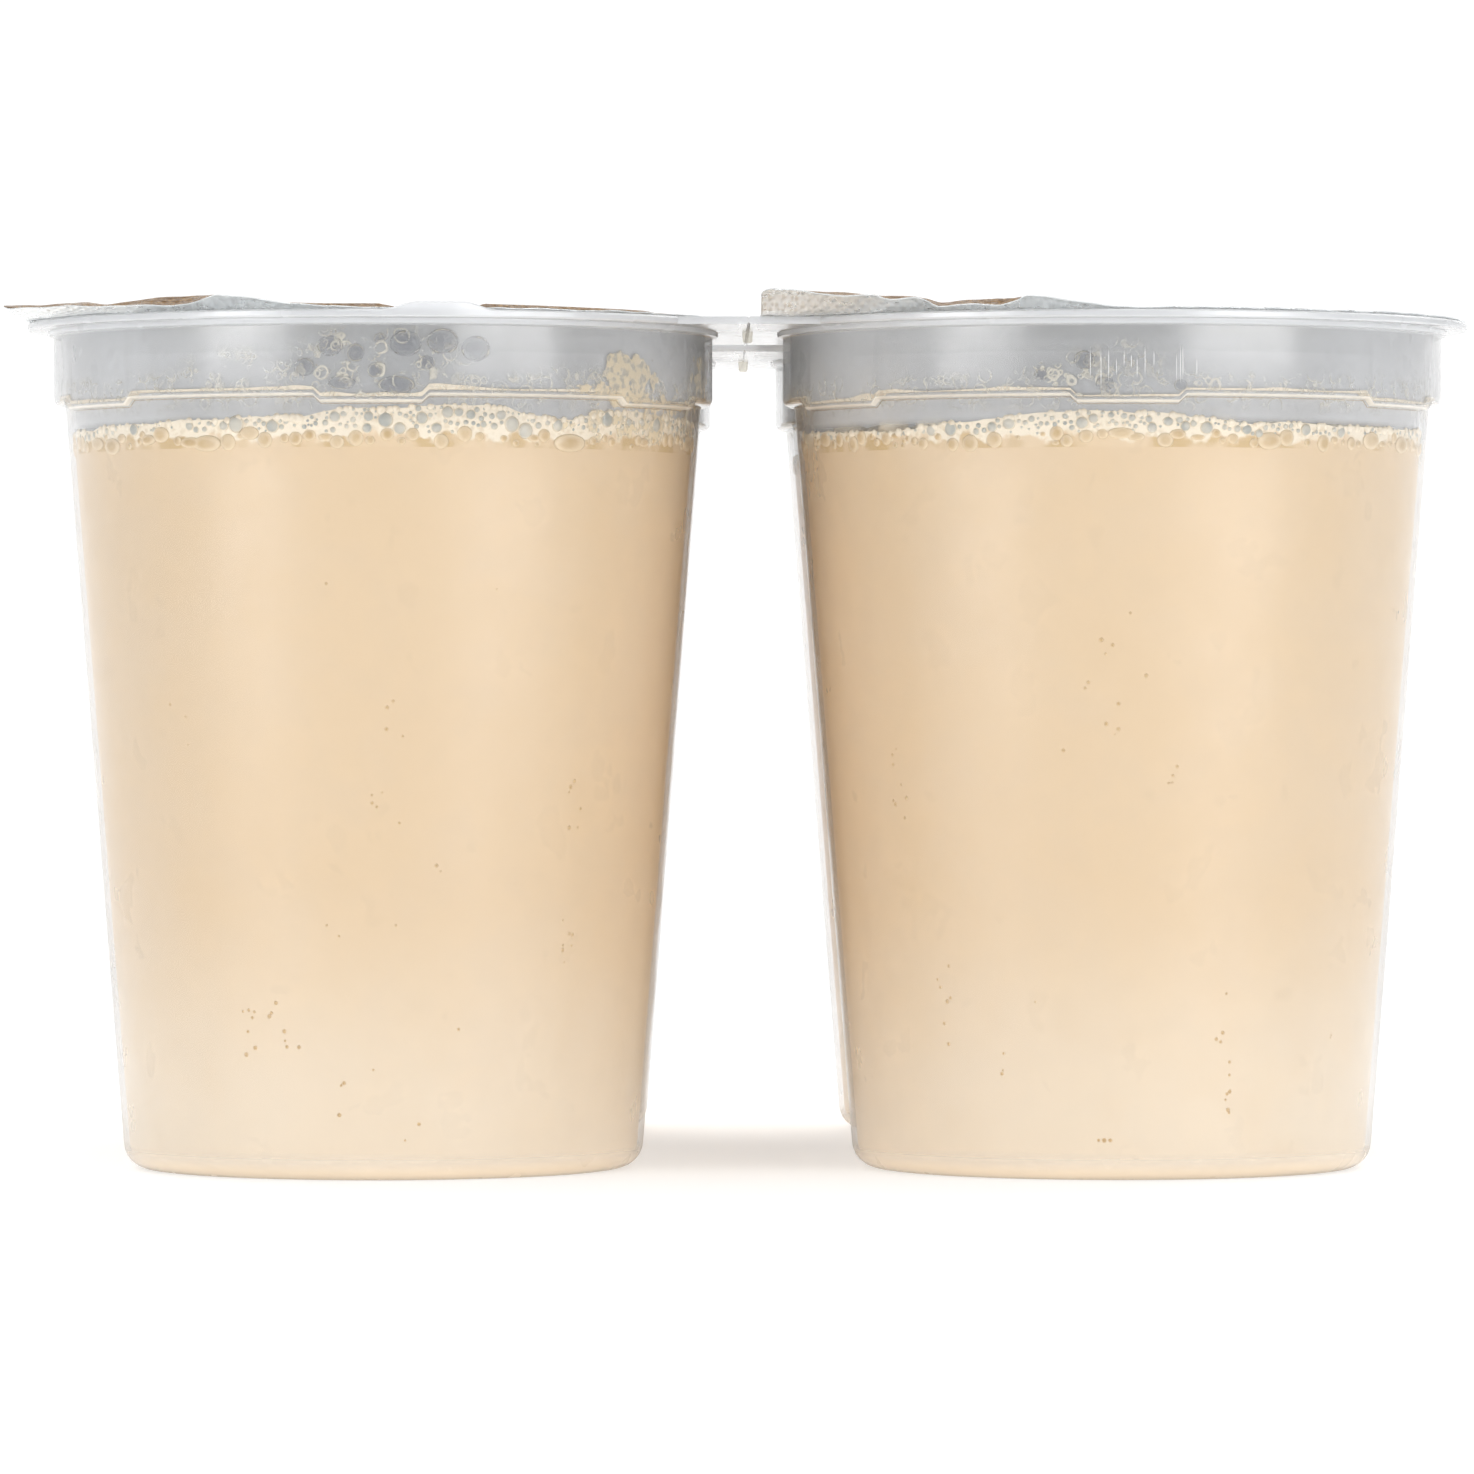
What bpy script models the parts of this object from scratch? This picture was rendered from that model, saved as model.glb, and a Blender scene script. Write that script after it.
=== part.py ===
"""Four dessert pots moulded as one block, each filled, topped with foam and sealed with a foil lid.

The block stands on its four bases at z = 0, with its origin under the middle of the block. The front is
towards -Y. Each pot is a tapered cup with a wider band at its mouth, and the four round flanges are held
together by a thin web that snaps along its middle lines.
"""

import math
import random

import bmesh
import bpy
from mathutils import Matrix, Vector

MM = 0.001

# Driving sizes of the block, in metres
PITCH = 64.0 * MM
SIDES = 40
WALL = 0.65 * MM

# Cup body: a cone with a rounded foot that stands on a ring
BODY_FOOT_RADIUS = 22.65 * MM
BODY_FLARE = 0.0781
FOOT_ROUNDING = 2.3 * MM
FOOT_RING_WIDTH = 1.13 * MM
BASE_RECESS = 0.5 * MM

# Band at the mouth: its ledge is what the next pot would stand on when the empty cups are stacked
LEDGE_HEIGHT = 66.8 * MM
BAND_RADIUS = 28.9 * MM
BAND_ROUNDING = 0.7 * MM
BAND_TOP = 72.8 * MM
LUG_COUNT = 6
LUG_DROP = 0.57 * MM
LUG_HALF_ANGLE = math.radians(10.2)
LUG_END_SLOPE = math.radians(0.9)
LUG_RADII = (BODY_FOOT_RADIUS + BODY_FLARE * LEDGE_HEIGHT - WALL / 2, BAND_RADIUS - 0.2 * MM)

# Flange and web: one plate, with a neck ring under it and a sealing bead on top
FLANGE_RADIUS = 31.2 * MM
FLANGE_TOP = 74.0 * MM
FLANGE_THICKNESS = 0.65 * MM
NECK_RADIUS = 29.4 * MM
NECK_SLOPE = 0.2 * MM
BEAD_HEIGHT = 0.12 * MM
WEB_HALF_WIDTH = 17.2 * MM
SNAP_GROOVE_DEPTH = 0.25 * MM
SNAP_PIN_RADIUS = 0.5 * MM
SNAP_PIN_DROP = 0.9 * MM

# Opening in the middle of the web, and the raised arch on the front left flange
HOLE_HALF_WIDTH = 7.0 * MM
HOLE_CORNER = 1.2 * MM
ARCH_START, ARCH_END = math.radians(-86.2), math.radians(-71.5)
ARCH_INNER, ARCH_OUTER = 30.75 * MM, 31.35 * MM
ARCH_RISE = 0.67 * MM
ARCH_END_SLOPE = math.radians(-2.5)

# Contents: cream up to the fill level, with a layer of foam on it
GAP = 0.3 * MM
FILL_LEVEL = 62.4 * MM
FILL_SIDES = 36
FOAM_THICKNESS = 1.5 * MM
FOAM_EDGE_DROP = 0.3 * MM
FOAM_RINGS = (0.35, 0.62, 0.82, 0.97)
FOAM_BUBBLES = 26
FOAM_BUBBLE_RADIUS = (0.7 * MM, 1.7 * MM)
FOAM_BUBBLE_SPREAD = 1.6
FOAM_BUBBLE_ZONE = (0.55, 0.97)
FOAM_SEED = 11

# Foil lid: a disc with one square corner, which is the peel tab
LID_RADIUS = 31.0 * MM
LID_THICKNESS = 0.25 * MM
LID_CORNER_ROUNDING = 2.5 * MM
LID_TRIM_AT_ARCH = 30.4 * MM
LID_RINGS = (0.45, 0.8, 0.93, 1.0)
LID_FREE_FROM, LID_FREE_BY = 29.6 * MM, 31.6 * MM

# Crests of each lid's loose corner: place (x, y) from the pot's axis, height, and half width, in mm
CORNER_CRESTS = {
    "front_left": (((-12.0, -31.0), 1.05, 4.0), ((-17.0, -27.0), 0.8, 3.5), ((-25.0, -30.5), 0.4, 2.5)),
    "front_right": (((-29.0, -30.0), 1.6, 6.5), ((-18.0, -30.5), 0.7, 2.5), ((-8.4, -31.0), 1.0, 3.5)),
    "back_left": (((-26.0, -28.0), 1.3, 7.0), ((-11.0, -31.0), 0.6, 3.0), ((-31.0, -12.0), 0.5, 4.0)),
    "back_right": (((-28.0, -26.0), 0.9, 5.0), ((-16.0, -30.0), 0.9, 3.5), ((-31.0, -10.0), 0.4, 4.0)),
}

POTS = {
    "front_left": (-PITCH / 2, -PITCH / 2),
    "front_right": (PITCH / 2, -PITCH / 2),
    "back_left": (-PITCH / 2, PITCH / 2),
    "back_right": (PITCH / 2, PITCH / 2),
}

STEP = 2 * math.pi / SIDES


def body_radius(height):
    """Outer radius of the cup's cone at a height above the base."""
    return BODY_FOOT_RADIUS + BODY_FLARE * height


def new_material(name, color, roughness, metallic=0.0, transmission=0.0):
    """A plain finish for one kind of piece."""
    material = bpy.data.materials.new(name)
    material.use_nodes = True
    shader = material.node_tree.nodes["Principled BSDF"]
    shader.inputs["Base Color"].default_value = (*color, 1.0)
    shader.inputs["Roughness"].default_value = roughness
    shader.inputs["Metallic"].default_value = metallic
    shader.inputs["Transmission Weight"].default_value = transmission
    return material


def add_object(name, mesh, collection):
    """A new object that holds the mesh, in the collection."""
    thing = bpy.data.objects.new(name, mesh)
    collection.objects.link(thing)
    return thing


def settle(thing, mesh_name):
    """The object's mesh with its modifiers applied; the modifiers are then removed."""
    bpy.context.view_layer.update()
    depsgraph = bpy.context.evaluated_depsgraph_get()
    mesh = bpy.data.meshes.new_from_object(thing.evaluated_get(depsgraph))
    mesh.name = mesh_name
    thing.modifiers.clear()
    if thing.type == "MESH":
        thing.data = mesh
    return mesh


def turned(name, profile, sides, collection):
    """A turned solid: the profile is (radius, height) points that end by running down the outer side."""
    mesh = bpy.data.meshes.new(name)
    bm = bmesh.new()
    points = [bm.verts.new((radius, 0, height)) for radius, height in profile]
    for start, end in zip(points, points[1:]):
        bm.edges.new((start, end))
    bm.to_mesh(mesh)
    bm.free()
    thing = add_object(name, mesh, collection)
    screw = thing.modifiers.new("turn", "SCREW")
    screw.axis = "Z"
    screw.angle = 2 * math.pi
    screw.steps = screw.render_steps = sides
    screw.use_merge_vertices = True
    screw.merge_threshold = 0.01 * MM
    screw.use_smooth_shade = False
    settle(thing, name)
    return thing


def rounded_corner(centre, radius, start, end, count):
    """Points of an arc in the profile plane, from the start angle to the end angle in degrees."""
    turns = [math.radians(start + (end - start) * i / (count - 1)) for i in range(count)]
    return [(centre[0] + radius * math.cos(t), centre[1] + radius * math.sin(t)) for t in turns]


def cup_profile():
    """Section of one cup, from the middle of its floor over the rim to the middle of its underside."""
    foot_centre = (body_radius(FOOT_ROUNDING) - FOOT_ROUNDING, FOOT_ROUNDING)
    ring_inner = foot_centre[0] - FOOT_RING_WIDTH
    recess_edge = ring_inner - BASE_RECESS
    floor = BASE_RECESS + WALL
    band_inner = BAND_RADIUS - WALL
    shelf = LEDGE_HEIGHT + WALL
    inside = [(0, floor), (recess_edge, floor)]
    inside += rounded_corner(foot_centre, FOOT_ROUNDING - WALL, -90, 0, 3)
    rim = FLANGE_TOP + BEAD_HEIGHT
    inside += [(body_radius(shelf) - WALL, shelf), (band_inner, shelf), (band_inner, rim)]
    neck = [
        (NECK_RADIUS, rim),
        (NECK_RADIUS, BAND_TOP + NECK_SLOPE),
        (BAND_RADIUS, BAND_TOP),
    ]
    band_centre = (BAND_RADIUS - BAND_ROUNDING, LEDGE_HEIGHT + BAND_ROUNDING)
    outside = rounded_corner(band_centre, BAND_ROUNDING, 0, -90, 3)
    outside += [(body_radius(LEDGE_HEIGHT), LEDGE_HEIGHT)]
    outside += rounded_corner(foot_centre, FOOT_ROUNDING, 0, -90, 4)
    outside += [(ring_inner, 0), (recess_edge, BASE_RECESS), (0, BASE_RECESS)]
    return inside + neck + outside


def sector_block(name, radii, heights, angles, top_angle_margin, columns, collection):
    """A block bent round the pot's axis, with sloped ends: its top spans a wider angle than its foot."""
    bm = bmesh.new()
    bmesh.ops.create_cube(bm, size=2.0)
    long_edges = [e for e in bm.edges if abs(e.verts[0].co.x - e.verts[1].co.x) > 1.0]
    bmesh.ops.subdivide_edges(bm, edges=long_edges, cuts=columns - 1, use_grid_fill=True)
    middle, half = (angles[0] + angles[1]) / 2, (angles[1] - angles[0]) / 2
    for vert in bm.verts:
        along, out, up = vert.co
        reach = half + (top_angle_margin if up > 0 else 0.0)
        turn = middle - along * reach
        radius = radii[1] if out > 0 else radii[0]
        vert.co = (radius * math.cos(turn), radius * math.sin(turn), heights[1] if up > 0 else heights[0])
    bmesh.ops.recalc_face_normals(bm, faces=bm.faces)
    mesh = bpy.data.meshes.new(name)
    bm.to_mesh(mesh)
    bm.free()
    return add_object(name, mesh, collection)


def ledge_lugs(pot, centre, collection):
    """The low steps that break the ledge line, evenly round the pot, with one facing the front."""
    lugs = []
    for i in range(LUG_COUNT):
        middle = -math.pi / 2 + 2 * math.pi * i / LUG_COUNT
        lug = sector_block(
            f"lug_{pot}_{i}",
            LUG_RADII,
            (LEDGE_HEIGHT - LUG_DROP, LEDGE_HEIGHT + WALL / 2),
            (middle - LUG_HALF_ANGLE, middle + LUG_HALF_ANGLE),
            LUG_END_SLOPE,
            4,
            collection,
        )
        lug.data.transform(Matrix.Translation((*centre, 0)))
        lugs.append(lug)
    return lugs


def plate_outline():
    """Outer edge of the plate: four arcs of the flanges, joined by the straight edges of the web."""
    web_end = math.acos(WEB_HALF_WIDTH / FLANGE_RADIUS)
    start, end = -math.pi / 2 + web_end, -math.pi - web_end
    turns = [start]
    turns += [i * STEP for i in range(SIDES, -2 * SIDES, -1) if end + STEP / 4 < i * STEP < start - STEP / 4]
    turns += [end]
    outline = []
    for quarter in range(4):
        spin = Matrix.Rotation(-quarter * math.pi / 2, 2)
        for turn in turns:
            x = -PITCH / 2 + FLANGE_RADIUS * math.cos(turn)
            y = -PITCH / 2 + FLANGE_RADIUS * math.sin(turn)
            outline.append(tuple(spin @ Vector((x, y))))
    return outline


def hole_outline():
    """The opening in the middle of the web: a square with its corners cut off."""
    outline = []
    for quarter in range(4):
        spin = Matrix.Rotation(-quarter * math.pi / 2, 2)
        side, corner = HOLE_HALF_WIDTH, HOLE_HALF_WIDTH - HOLE_CORNER
        outline += [tuple(spin @ Vector(place)) for place in ((-side, corner), (-corner, side))]
    return outline


def ring_outline(centre, radius):
    """A round outline with its corners on the same spokes as the cups."""
    spokes = [(math.cos(i * STEP), math.sin(i * STEP)) for i in range(SIDES)]
    return [(centre[0] + radius * across, centre[1] + radius * along) for across, along in spokes]


def flat_plate(name, outlines, bottom, top, collection):
    """A flat plate with the first outline as its edge and the others as its holes."""
    curve = bpy.data.curves.new(name, "CURVE")
    curve.dimensions = "2D"
    curve.fill_mode = "BOTH"
    curve.extrude = (top - bottom) / 2
    for outline in outlines:
        spline = curve.splines.new("POLY")
        spline.points.add(len(outline) - 1)
        for point, place in zip(spline.points, outline):
            point.co = (*place, 0, 1)
        spline.use_cyclic_u = True
    drawn = add_object(name + "_outline", curve, collection)
    drawn.location.z = (top + bottom) / 2
    mesh = settle(drawn, name)
    mesh.transform(drawn.matrix_world)
    bpy.data.objects.remove(drawn)
    bm = bmesh.new()
    bm.from_mesh(mesh)
    bmesh.ops.remove_doubles(bm, verts=bm.verts, dist=0.001 * MM)
    bmesh.ops.recalc_face_normals(bm, faces=bm.faces)
    bm.to_mesh(mesh)
    bm.free()
    return add_object(name, mesh, collection)


def snap_pins(collection):
    """Short pins under the web, midway between neighbouring pots."""
    pins = []
    for i in range(4):
        turn = i * math.pi / 2
        mesh = bpy.data.meshes.new(f"pin_{i}")
        bm = bmesh.new()
        top = FLANGE_TOP - FLANGE_THICKNESS / 2
        bottom = FLANGE_TOP - FLANGE_THICKNESS - SNAP_PIN_DROP
        bmesh.ops.create_cone(
            bm,
            cap_ends=True,
            segments=10,
            radius1=SNAP_PIN_RADIUS * 0.8,
            radius2=SNAP_PIN_RADIUS,
            depth=top - bottom,
        )
        place = (PITCH / 2 * math.cos(turn), PITCH / 2 * math.sin(turn), (top + bottom) / 2)
        bmesh.ops.translate(bm, verts=bm.verts, vec=place)
        bm.to_mesh(mesh)
        bm.free()
        pins.append(add_object(f"pin_{i}", mesh, collection))
    return pins


def snap_grooves(collection):
    """Cutters for the two shallow V grooves in the top of the web, along its middle lines."""
    cutters = []
    for i in range(2):
        mesh = bpy.data.meshes.new(f"groove_{i}")
        bm = bmesh.new()
        bmesh.ops.create_cube(bm, size=1.0)
        side = SNAP_GROOVE_DEPTH * math.sqrt(2)
        bmesh.ops.scale(bm, verts=bm.verts, vec=(side, 2 * PITCH, side))
        bmesh.ops.rotate(bm, verts=bm.verts, matrix=Matrix.Rotation(math.pi / 4, 3, "Y"))
        bmesh.ops.rotate(bm, verts=bm.verts, matrix=Matrix.Rotation(i * math.pi / 2, 3, "Z"))
        bmesh.ops.translate(bm, verts=bm.verts, vec=(0, 0, FLANGE_TOP))
        bm.to_mesh(mesh)
        bm.free()
        cutters.append(add_object(f"groove_{i}", mesh, collection))
    return cutters


def combine(base, others, operation, solver, name):
    """Joins the others to the base, or cuts them from it, in one Boolean; the others are then removed."""
    group = bpy.data.collections.new(name)
    bpy.context.scene.collection.children.link(group)
    for other in others:
        for holder in list(other.users_collection):
            holder.objects.unlink(other)
        group.objects.link(other)
    boolean = base.modifiers.new(name, "BOOLEAN")
    boolean.operation = operation
    boolean.operand_type = "COLLECTION"
    boolean.collection = group
    boolean.solver = solver
    settle(base, base.name)
    for other in list(group.objects):
        bpy.data.objects.remove(other)
    bpy.data.collections.remove(group)


def make_cup_block(collection):
    """The moulding: four cups, their lugs, the plate that is both flange and web, and its snap lines."""
    mouths = [ring_outline(centre, (NECK_RADIUS + BAND_RADIUS - WALL) / 2) for centre in POTS.values()]
    bottom = FLANGE_TOP - FLANGE_THICKNESS
    outlines = [plate_outline(), hole_outline(), *mouths]
    block = flat_plate("cup_block", outlines, bottom, FLANGE_TOP, collection)
    combine(block, snap_grooves(collection), "DIFFERENCE", "EXACT", "snap_grooves")
    joined = snap_pins(collection)
    for pot, centre in POTS.items():
        cup = turned(f"cup_{pot}", cup_profile(), SIDES, collection)
        cup.data.transform(Matrix.Translation((*centre, 0)))
        joined.append(cup)
        joined += ledge_lugs(pot, centre, collection)
    arch = sector_block(
        "arch",
        (ARCH_INNER, ARCH_OUTER),
        (FLANGE_TOP - FLANGE_THICKNESS / 2, FLANGE_TOP + ARCH_RISE),
        (ARCH_START, ARCH_END),
        ARCH_END_SLOPE,
        4,
        collection,
    )
    arch.data.transform(Matrix.Translation((*POTS["front_left"], 0)))
    combine(block, [*joined, arch], "UNION", "MANIFOLD", "cup_block_pieces")
    return block


def make_filling(pot, collection):
    """The cream in one cup, from its floor to the fill level, with the cup's own taper."""
    foot_centre = (body_radius(FOOT_ROUNDING) - FOOT_ROUNDING, FOOT_ROUNDING)
    floor = BASE_RECESS + WALL + GAP
    top_radius = body_radius(FILL_LEVEL) - WALL - GAP
    profile = [(0, FILL_LEVEL), (top_radius, FILL_LEVEL)]
    profile += rounded_corner(foot_centre, FOOT_ROUNDING - WALL - GAP, 0, -45, 2)
    profile += [(foot_centre[0] - FOOT_RING_WIDTH, floor), (0, floor)]
    filling = turned(f"filling_{pot}", profile, FILL_SIDES, collection)
    filling.data.transform(Matrix.Translation((*POTS[pot], 0)))
    return filling


def make_foam(pot, seed, collection):
    """The foam on one filling: a layer whose top is pushed up by bubbles, most of them near the wall."""
    bottom = FILL_LEVEL + GAP
    top = bottom + FOAM_THICKNESS
    reach = body_radius(bottom) - WALL - GAP
    profile = [(0, top)] + [(reach * ring, top) for ring in FOAM_RINGS]
    profile += [(reach, top - FOAM_EDGE_DROP), (reach, bottom), (0, bottom)]
    foam = turned(f"foam_{pot}", profile, FILL_SIDES, collection)
    rng = random.Random(FOAM_SEED + seed)
    bubbles = []
    for _ in range(FOAM_BUBBLES):
        distance = reach * rng.uniform(*FOAM_BUBBLE_ZONE)
        turn = rng.uniform(0, 2 * math.pi)
        radius = rng.uniform(*FOAM_BUBBLE_RADIUS)
        bubbles.append((distance * math.cos(turn), distance * math.sin(turn), radius))
    for vert in foam.data.vertices:
        if vert.co.z < top - FOAM_EDGE_DROP / 2:
            continue
        rise = 0.0
        for x, y, radius in bubbles:
            near = math.hypot(vert.co.x - x, vert.co.y - y) / (radius * FOAM_BUBBLE_SPREAD)
            if near < 1:
                rise = max(rise, radius * math.sqrt(1 - near * near))
        vert.co.z += rise
    foam.data.transform(Matrix.Translation((*POTS[pot], 0)))
    return foam


def lid_reach(turn, has_arch):
    """Distance from the pot's axis to the lid's edge: round, but for the square corner at the front left."""
    turn = (turn + math.pi) % (2 * math.pi) - math.pi
    if -math.pi < turn < -math.pi / 2:
        inner = LID_RADIUS - LID_CORNER_ROUNDING
        across, down = abs(math.cos(turn)), abs(math.sin(turn))
        flat = LID_RADIUS / max(across, down)
        corner_mid = inner * (across + down)
        root = corner_mid**2 - 2 * inner**2 + LID_CORNER_ROUNDING**2
        beyond = min(across, down) * flat > inner
        return corner_mid + math.sqrt(root) if beyond and root > 0 else flat
    if has_arch and ARCH_START - STEP < turn < ARCH_END + STEP:
        return LID_TRIM_AT_ARCH
    return LID_RADIUS


def lid_lift(pot, x, y):
    """How far the loose foil stands above the flange at a place measured from the pot's axis."""
    distance = math.hypot(x, y)
    free = min(1.0, max(0.0, (distance - LID_FREE_FROM) / (LID_FREE_BY - LID_FREE_FROM)))
    lift = 0.0
    for (crest_x, crest_y), height, width in CORNER_CRESTS[pot]:
        away = math.hypot(x - crest_x * MM, y - crest_y * MM) / (width * MM)
        lift = max(lift, height * MM * math.exp(-away * away))
    return lift * free


def make_lid(pot, collection):
    """The foil lid of one pot: a thin sheet over the bead, with a curled corner at the front left."""
    underside = FLANGE_TOP + BEAD_HEIGHT + GAP
    profile = [(0, 0)] + [(ring, 0) for ring in LID_RINGS]
    lid = turned(f"lid_{pot}", profile, SIDES, collection)
    has_arch = pot == "front_left"
    for vert in lid.data.vertices:
        ring = math.hypot(vert.co.x, vert.co.y)
        if ring < 0.01:
            vert.co = (0, 0, underside)
            continue
        turn = math.atan2(vert.co.y, vert.co.x)
        reach = lid_reach(turn, has_arch) * ring
        x, y = reach * math.cos(turn), reach * math.sin(turn)
        vert.co = (x, y, underside + lid_lift(pot, x, y))
    lid.data.transform(Matrix.Translation((*POTS[pot], 0)))
    bm = bmesh.new()
    bm.from_mesh(lid.data)
    bmesh.ops.recalc_face_normals(bm, faces=bm.faces)
    if sum(face.normal.z for face in bm.faces) < 0:
        bmesh.ops.reverse_faces(bm, faces=bm.faces)
    bm.to_mesh(lid.data)
    bm.free()
    sheet = lid.modifiers.new("thickness", "SOLIDIFY")
    sheet.thickness = LID_THICKNESS
    sheet.offset = 1.0
    return lid


def main():
    """Builds the block, its contents and its lids, and gives each its finish."""
    for thing in list(bpy.data.objects):
        bpy.data.objects.remove(thing)
    collection = bpy.data.collections.new("dessert_pot_block")
    bpy.context.scene.collection.children.link(collection)

    clear_plastic = new_material("clear_plastic", (0.80, 0.82, 0.84), 0.25, transmission=0.8)
    cream = new_material("cream", (0.86, 0.70, 0.50), 0.45)
    froth = new_material("froth", (0.90, 0.80, 0.64), 0.5)
    foil = new_material("foil", (0.62, 0.42, 0.22), 0.35, metallic=0.3)

    make_cup_block(collection).data.materials.append(clear_plastic)
    for seed, pot in enumerate(POTS):
        make_filling(pot, collection).data.materials.append(cream)
        make_foam(pot, seed, collection).data.materials.append(froth)
        make_lid(pot, collection).data.materials.append(foil)


main()
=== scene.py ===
"""Looks of a block of four dessert pots: clear moulded cups on one snap-apart web, a beige dessert with foam
on top in each, and a crinkled foil lid over each.

The front row faces -Y. Sizes are in metres, and the origin is under the middle of the block.
"""

import enum
import logging
import math
import random
from collections.abc import Sequence
from dataclasses import dataclass, field, replace

import bmesh
import bpy
from mathutils import Matrix, Vector, noise


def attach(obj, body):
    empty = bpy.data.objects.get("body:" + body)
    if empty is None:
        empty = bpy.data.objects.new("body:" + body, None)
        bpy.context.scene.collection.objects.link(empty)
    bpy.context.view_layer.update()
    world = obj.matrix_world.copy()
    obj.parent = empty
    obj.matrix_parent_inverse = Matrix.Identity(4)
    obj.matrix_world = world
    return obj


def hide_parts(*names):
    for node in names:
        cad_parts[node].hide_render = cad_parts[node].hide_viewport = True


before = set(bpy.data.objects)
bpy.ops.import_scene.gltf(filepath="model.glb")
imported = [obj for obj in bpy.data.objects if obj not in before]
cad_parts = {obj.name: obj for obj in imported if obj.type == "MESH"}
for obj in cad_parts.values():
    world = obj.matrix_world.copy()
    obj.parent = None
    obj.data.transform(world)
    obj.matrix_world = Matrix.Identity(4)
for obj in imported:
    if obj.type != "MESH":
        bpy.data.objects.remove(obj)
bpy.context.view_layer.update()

LOG = logging.getLogger("dessert_pots")
MM = 0.001
BODY = "root"
RIM = "rim"
NET = "net"
SPLASH = "splash"
INNER = "inner"
# Mesh attribute marking where a highlight line and a shadow line are painted at the ledge.
LEDGE_HIGHLIGHT_AND_SHADOW = "ledge"

Colour = tuple[float, float, float]
Socket = bpy.types.NodeSocket
Place = tuple[float, float]


class Pot(enum.Enum):
    """The four places in the block, each with the signs of its X and Y."""

    FRONT_LEFT = (-1, -1)
    FRONT_RIGHT = (1, -1)
    BACK_LEFT = (-1, 1)
    BACK_RIGHT = (1, 1)

    @property
    def word(self) -> str:
        """The place's name, as the nodes use it."""
        return self.name.lower()

    @property
    def centre(self) -> Vector:
        """Where the pot's axis meets the floor."""
        return Vector((self.value[0], self.value[1], 0)) * (CUP.pitch / 2)


@dataclass(frozen=True)
class CupShape:
    """Sizes of one cup and of its share of the web, the same as the solids have."""

    pitch: float = 64.0 * MM
    wall: float = 0.65 * MM
    foot_radius: float = 22.65 * MM
    flare: float = 0.0781
    foot_rounding: float = 2.3 * MM
    foot_ring: float = 1.13 * MM
    recess: float = 0.5 * MM
    ledge: float = 66.8 * MM
    band_radius: float = 28.9 * MM
    band_rounding: float = 0.7 * MM
    band_top: float = 72.8 * MM
    neck_radius: float = 29.4 * MM
    flange_radius: float = 31.2 * MM
    flange_top: float = 74.0 * MM
    flange_thickness: float = 0.65 * MM
    bead: float = 0.12 * MM
    lug_count: int = 6
    lug_drop: float = 0.57 * MM
    lug_half_angle: float = math.radians(8.75)
    side_lug_half_angle: float = math.radians(11.25)
    lug_slope: float = math.radians(1.25)
    web_half_width: float = 17.2 * MM
    hole_half_width: float = 7.0 * MM
    steps: int = 288

    def body_radius(self, height: float) -> float:
        """Outer radius of the cone at a height."""
        return self.foot_radius + self.flare * height

    def inner_radius(self, height: float) -> float:
        """Inner radius of the cone at a height."""
        return self.body_radius(height) - self.wall

    def lug(self, turn: float) -> float:
        """How far the ledge is lowered at an angle round the pot, from 0 to 1.

        Args:
            turn: angle about the pot's axis, in radians.

        Returns:
            1 on a lug, 0 between lugs, and a slope at each end.
        """
        spacing = 2 * math.pi / self.lug_count
        off = (turn + math.pi / 2 + spacing / 2) % spacing - spacing / 2
        half = self.lug_half_angle if abs(math.sin(turn)) > 0.85 else self.side_lug_half_angle
        return min(1.0, max(0.0, (half + self.lug_slope - abs(off)) / self.lug_slope))


CUP = CupShape()


def smoothstep(low: float, high: float, value: float) -> float:
    """0 below low, 1 above high, and a smooth rise between."""
    share = min(1.0, max(0.0, (value - low) / (high - low)))
    return share * share * (3 - 2 * share)


def arc(centre: Place, radius: float, start: float, end: float, count: int) -> list[Place]:
    """Points of an arc in the profile plane.

    Args:
        centre: (radius, height) of the arc's centre.
        radius: the arc's own radius.
        start: first angle in degrees, where 0 points outwards and 90 up.
        end: last angle in degrees.
        count: how many points.

    Returns:
        The points, from start to end.
    """
    turns = [math.radians(start + (end - start) * i / (count - 1)) for i in range(count)]
    return [(centre[0] + radius * math.cos(t), centre[1] + radius * math.sin(t)) for t in turns]


def spun(profile: Sequence[Place], steps: int, closed: bool = False) -> bmesh.types.BMesh:
    """A bmesh of a profile turned a full circle about Z.

    Args:
        profile: (radius, height) points along the section.
        steps: how many sides.
        closed: whether the last point joins the first.

    Returns:
        The bmesh, merged at its poles. Where it is closed, its faces point outwards.
    """
    bm = bmesh.new()
    points = [bm.verts.new((radius, 0, height)) for radius, height in profile]
    edges = [bm.edges.new(pair) for pair in zip(points, points[1:])]
    if closed:
        edges.append(bm.edges.new((points[-1], points[0])))
    bmesh.ops.spin(
        bm,
        geom=points + edges,
        cent=(0, 0, 0),
        axis=(0, 0, 1),
        angle=2 * math.pi,
        steps=steps,
        use_merge=True,
    )
    bmesh.ops.remove_doubles(bm, verts=bm.verts, dist=0.001 * MM)
    bmesh.ops.recalc_face_normals(bm, faces=bm.faces)
    return bm


@dataclass(frozen=True)
class Course:
    """A value that runs through a few points, straight from one to the next and level past the ends."""

    points: tuple[Place, ...]

    def at(self, where: float) -> float:
        """The value at a place along the course.

        Args:
            where: the place.

        Returns:
            The value there.
        """
        if where <= self.points[0][0]:
            return self.points[0][1]
        for (start, low), (end, high) in zip(self.points, self.points[1:]):
            if where <= end:
                return low + (high - low) * (where - start) / (end - start)
        return self.points[-1][1]


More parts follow.
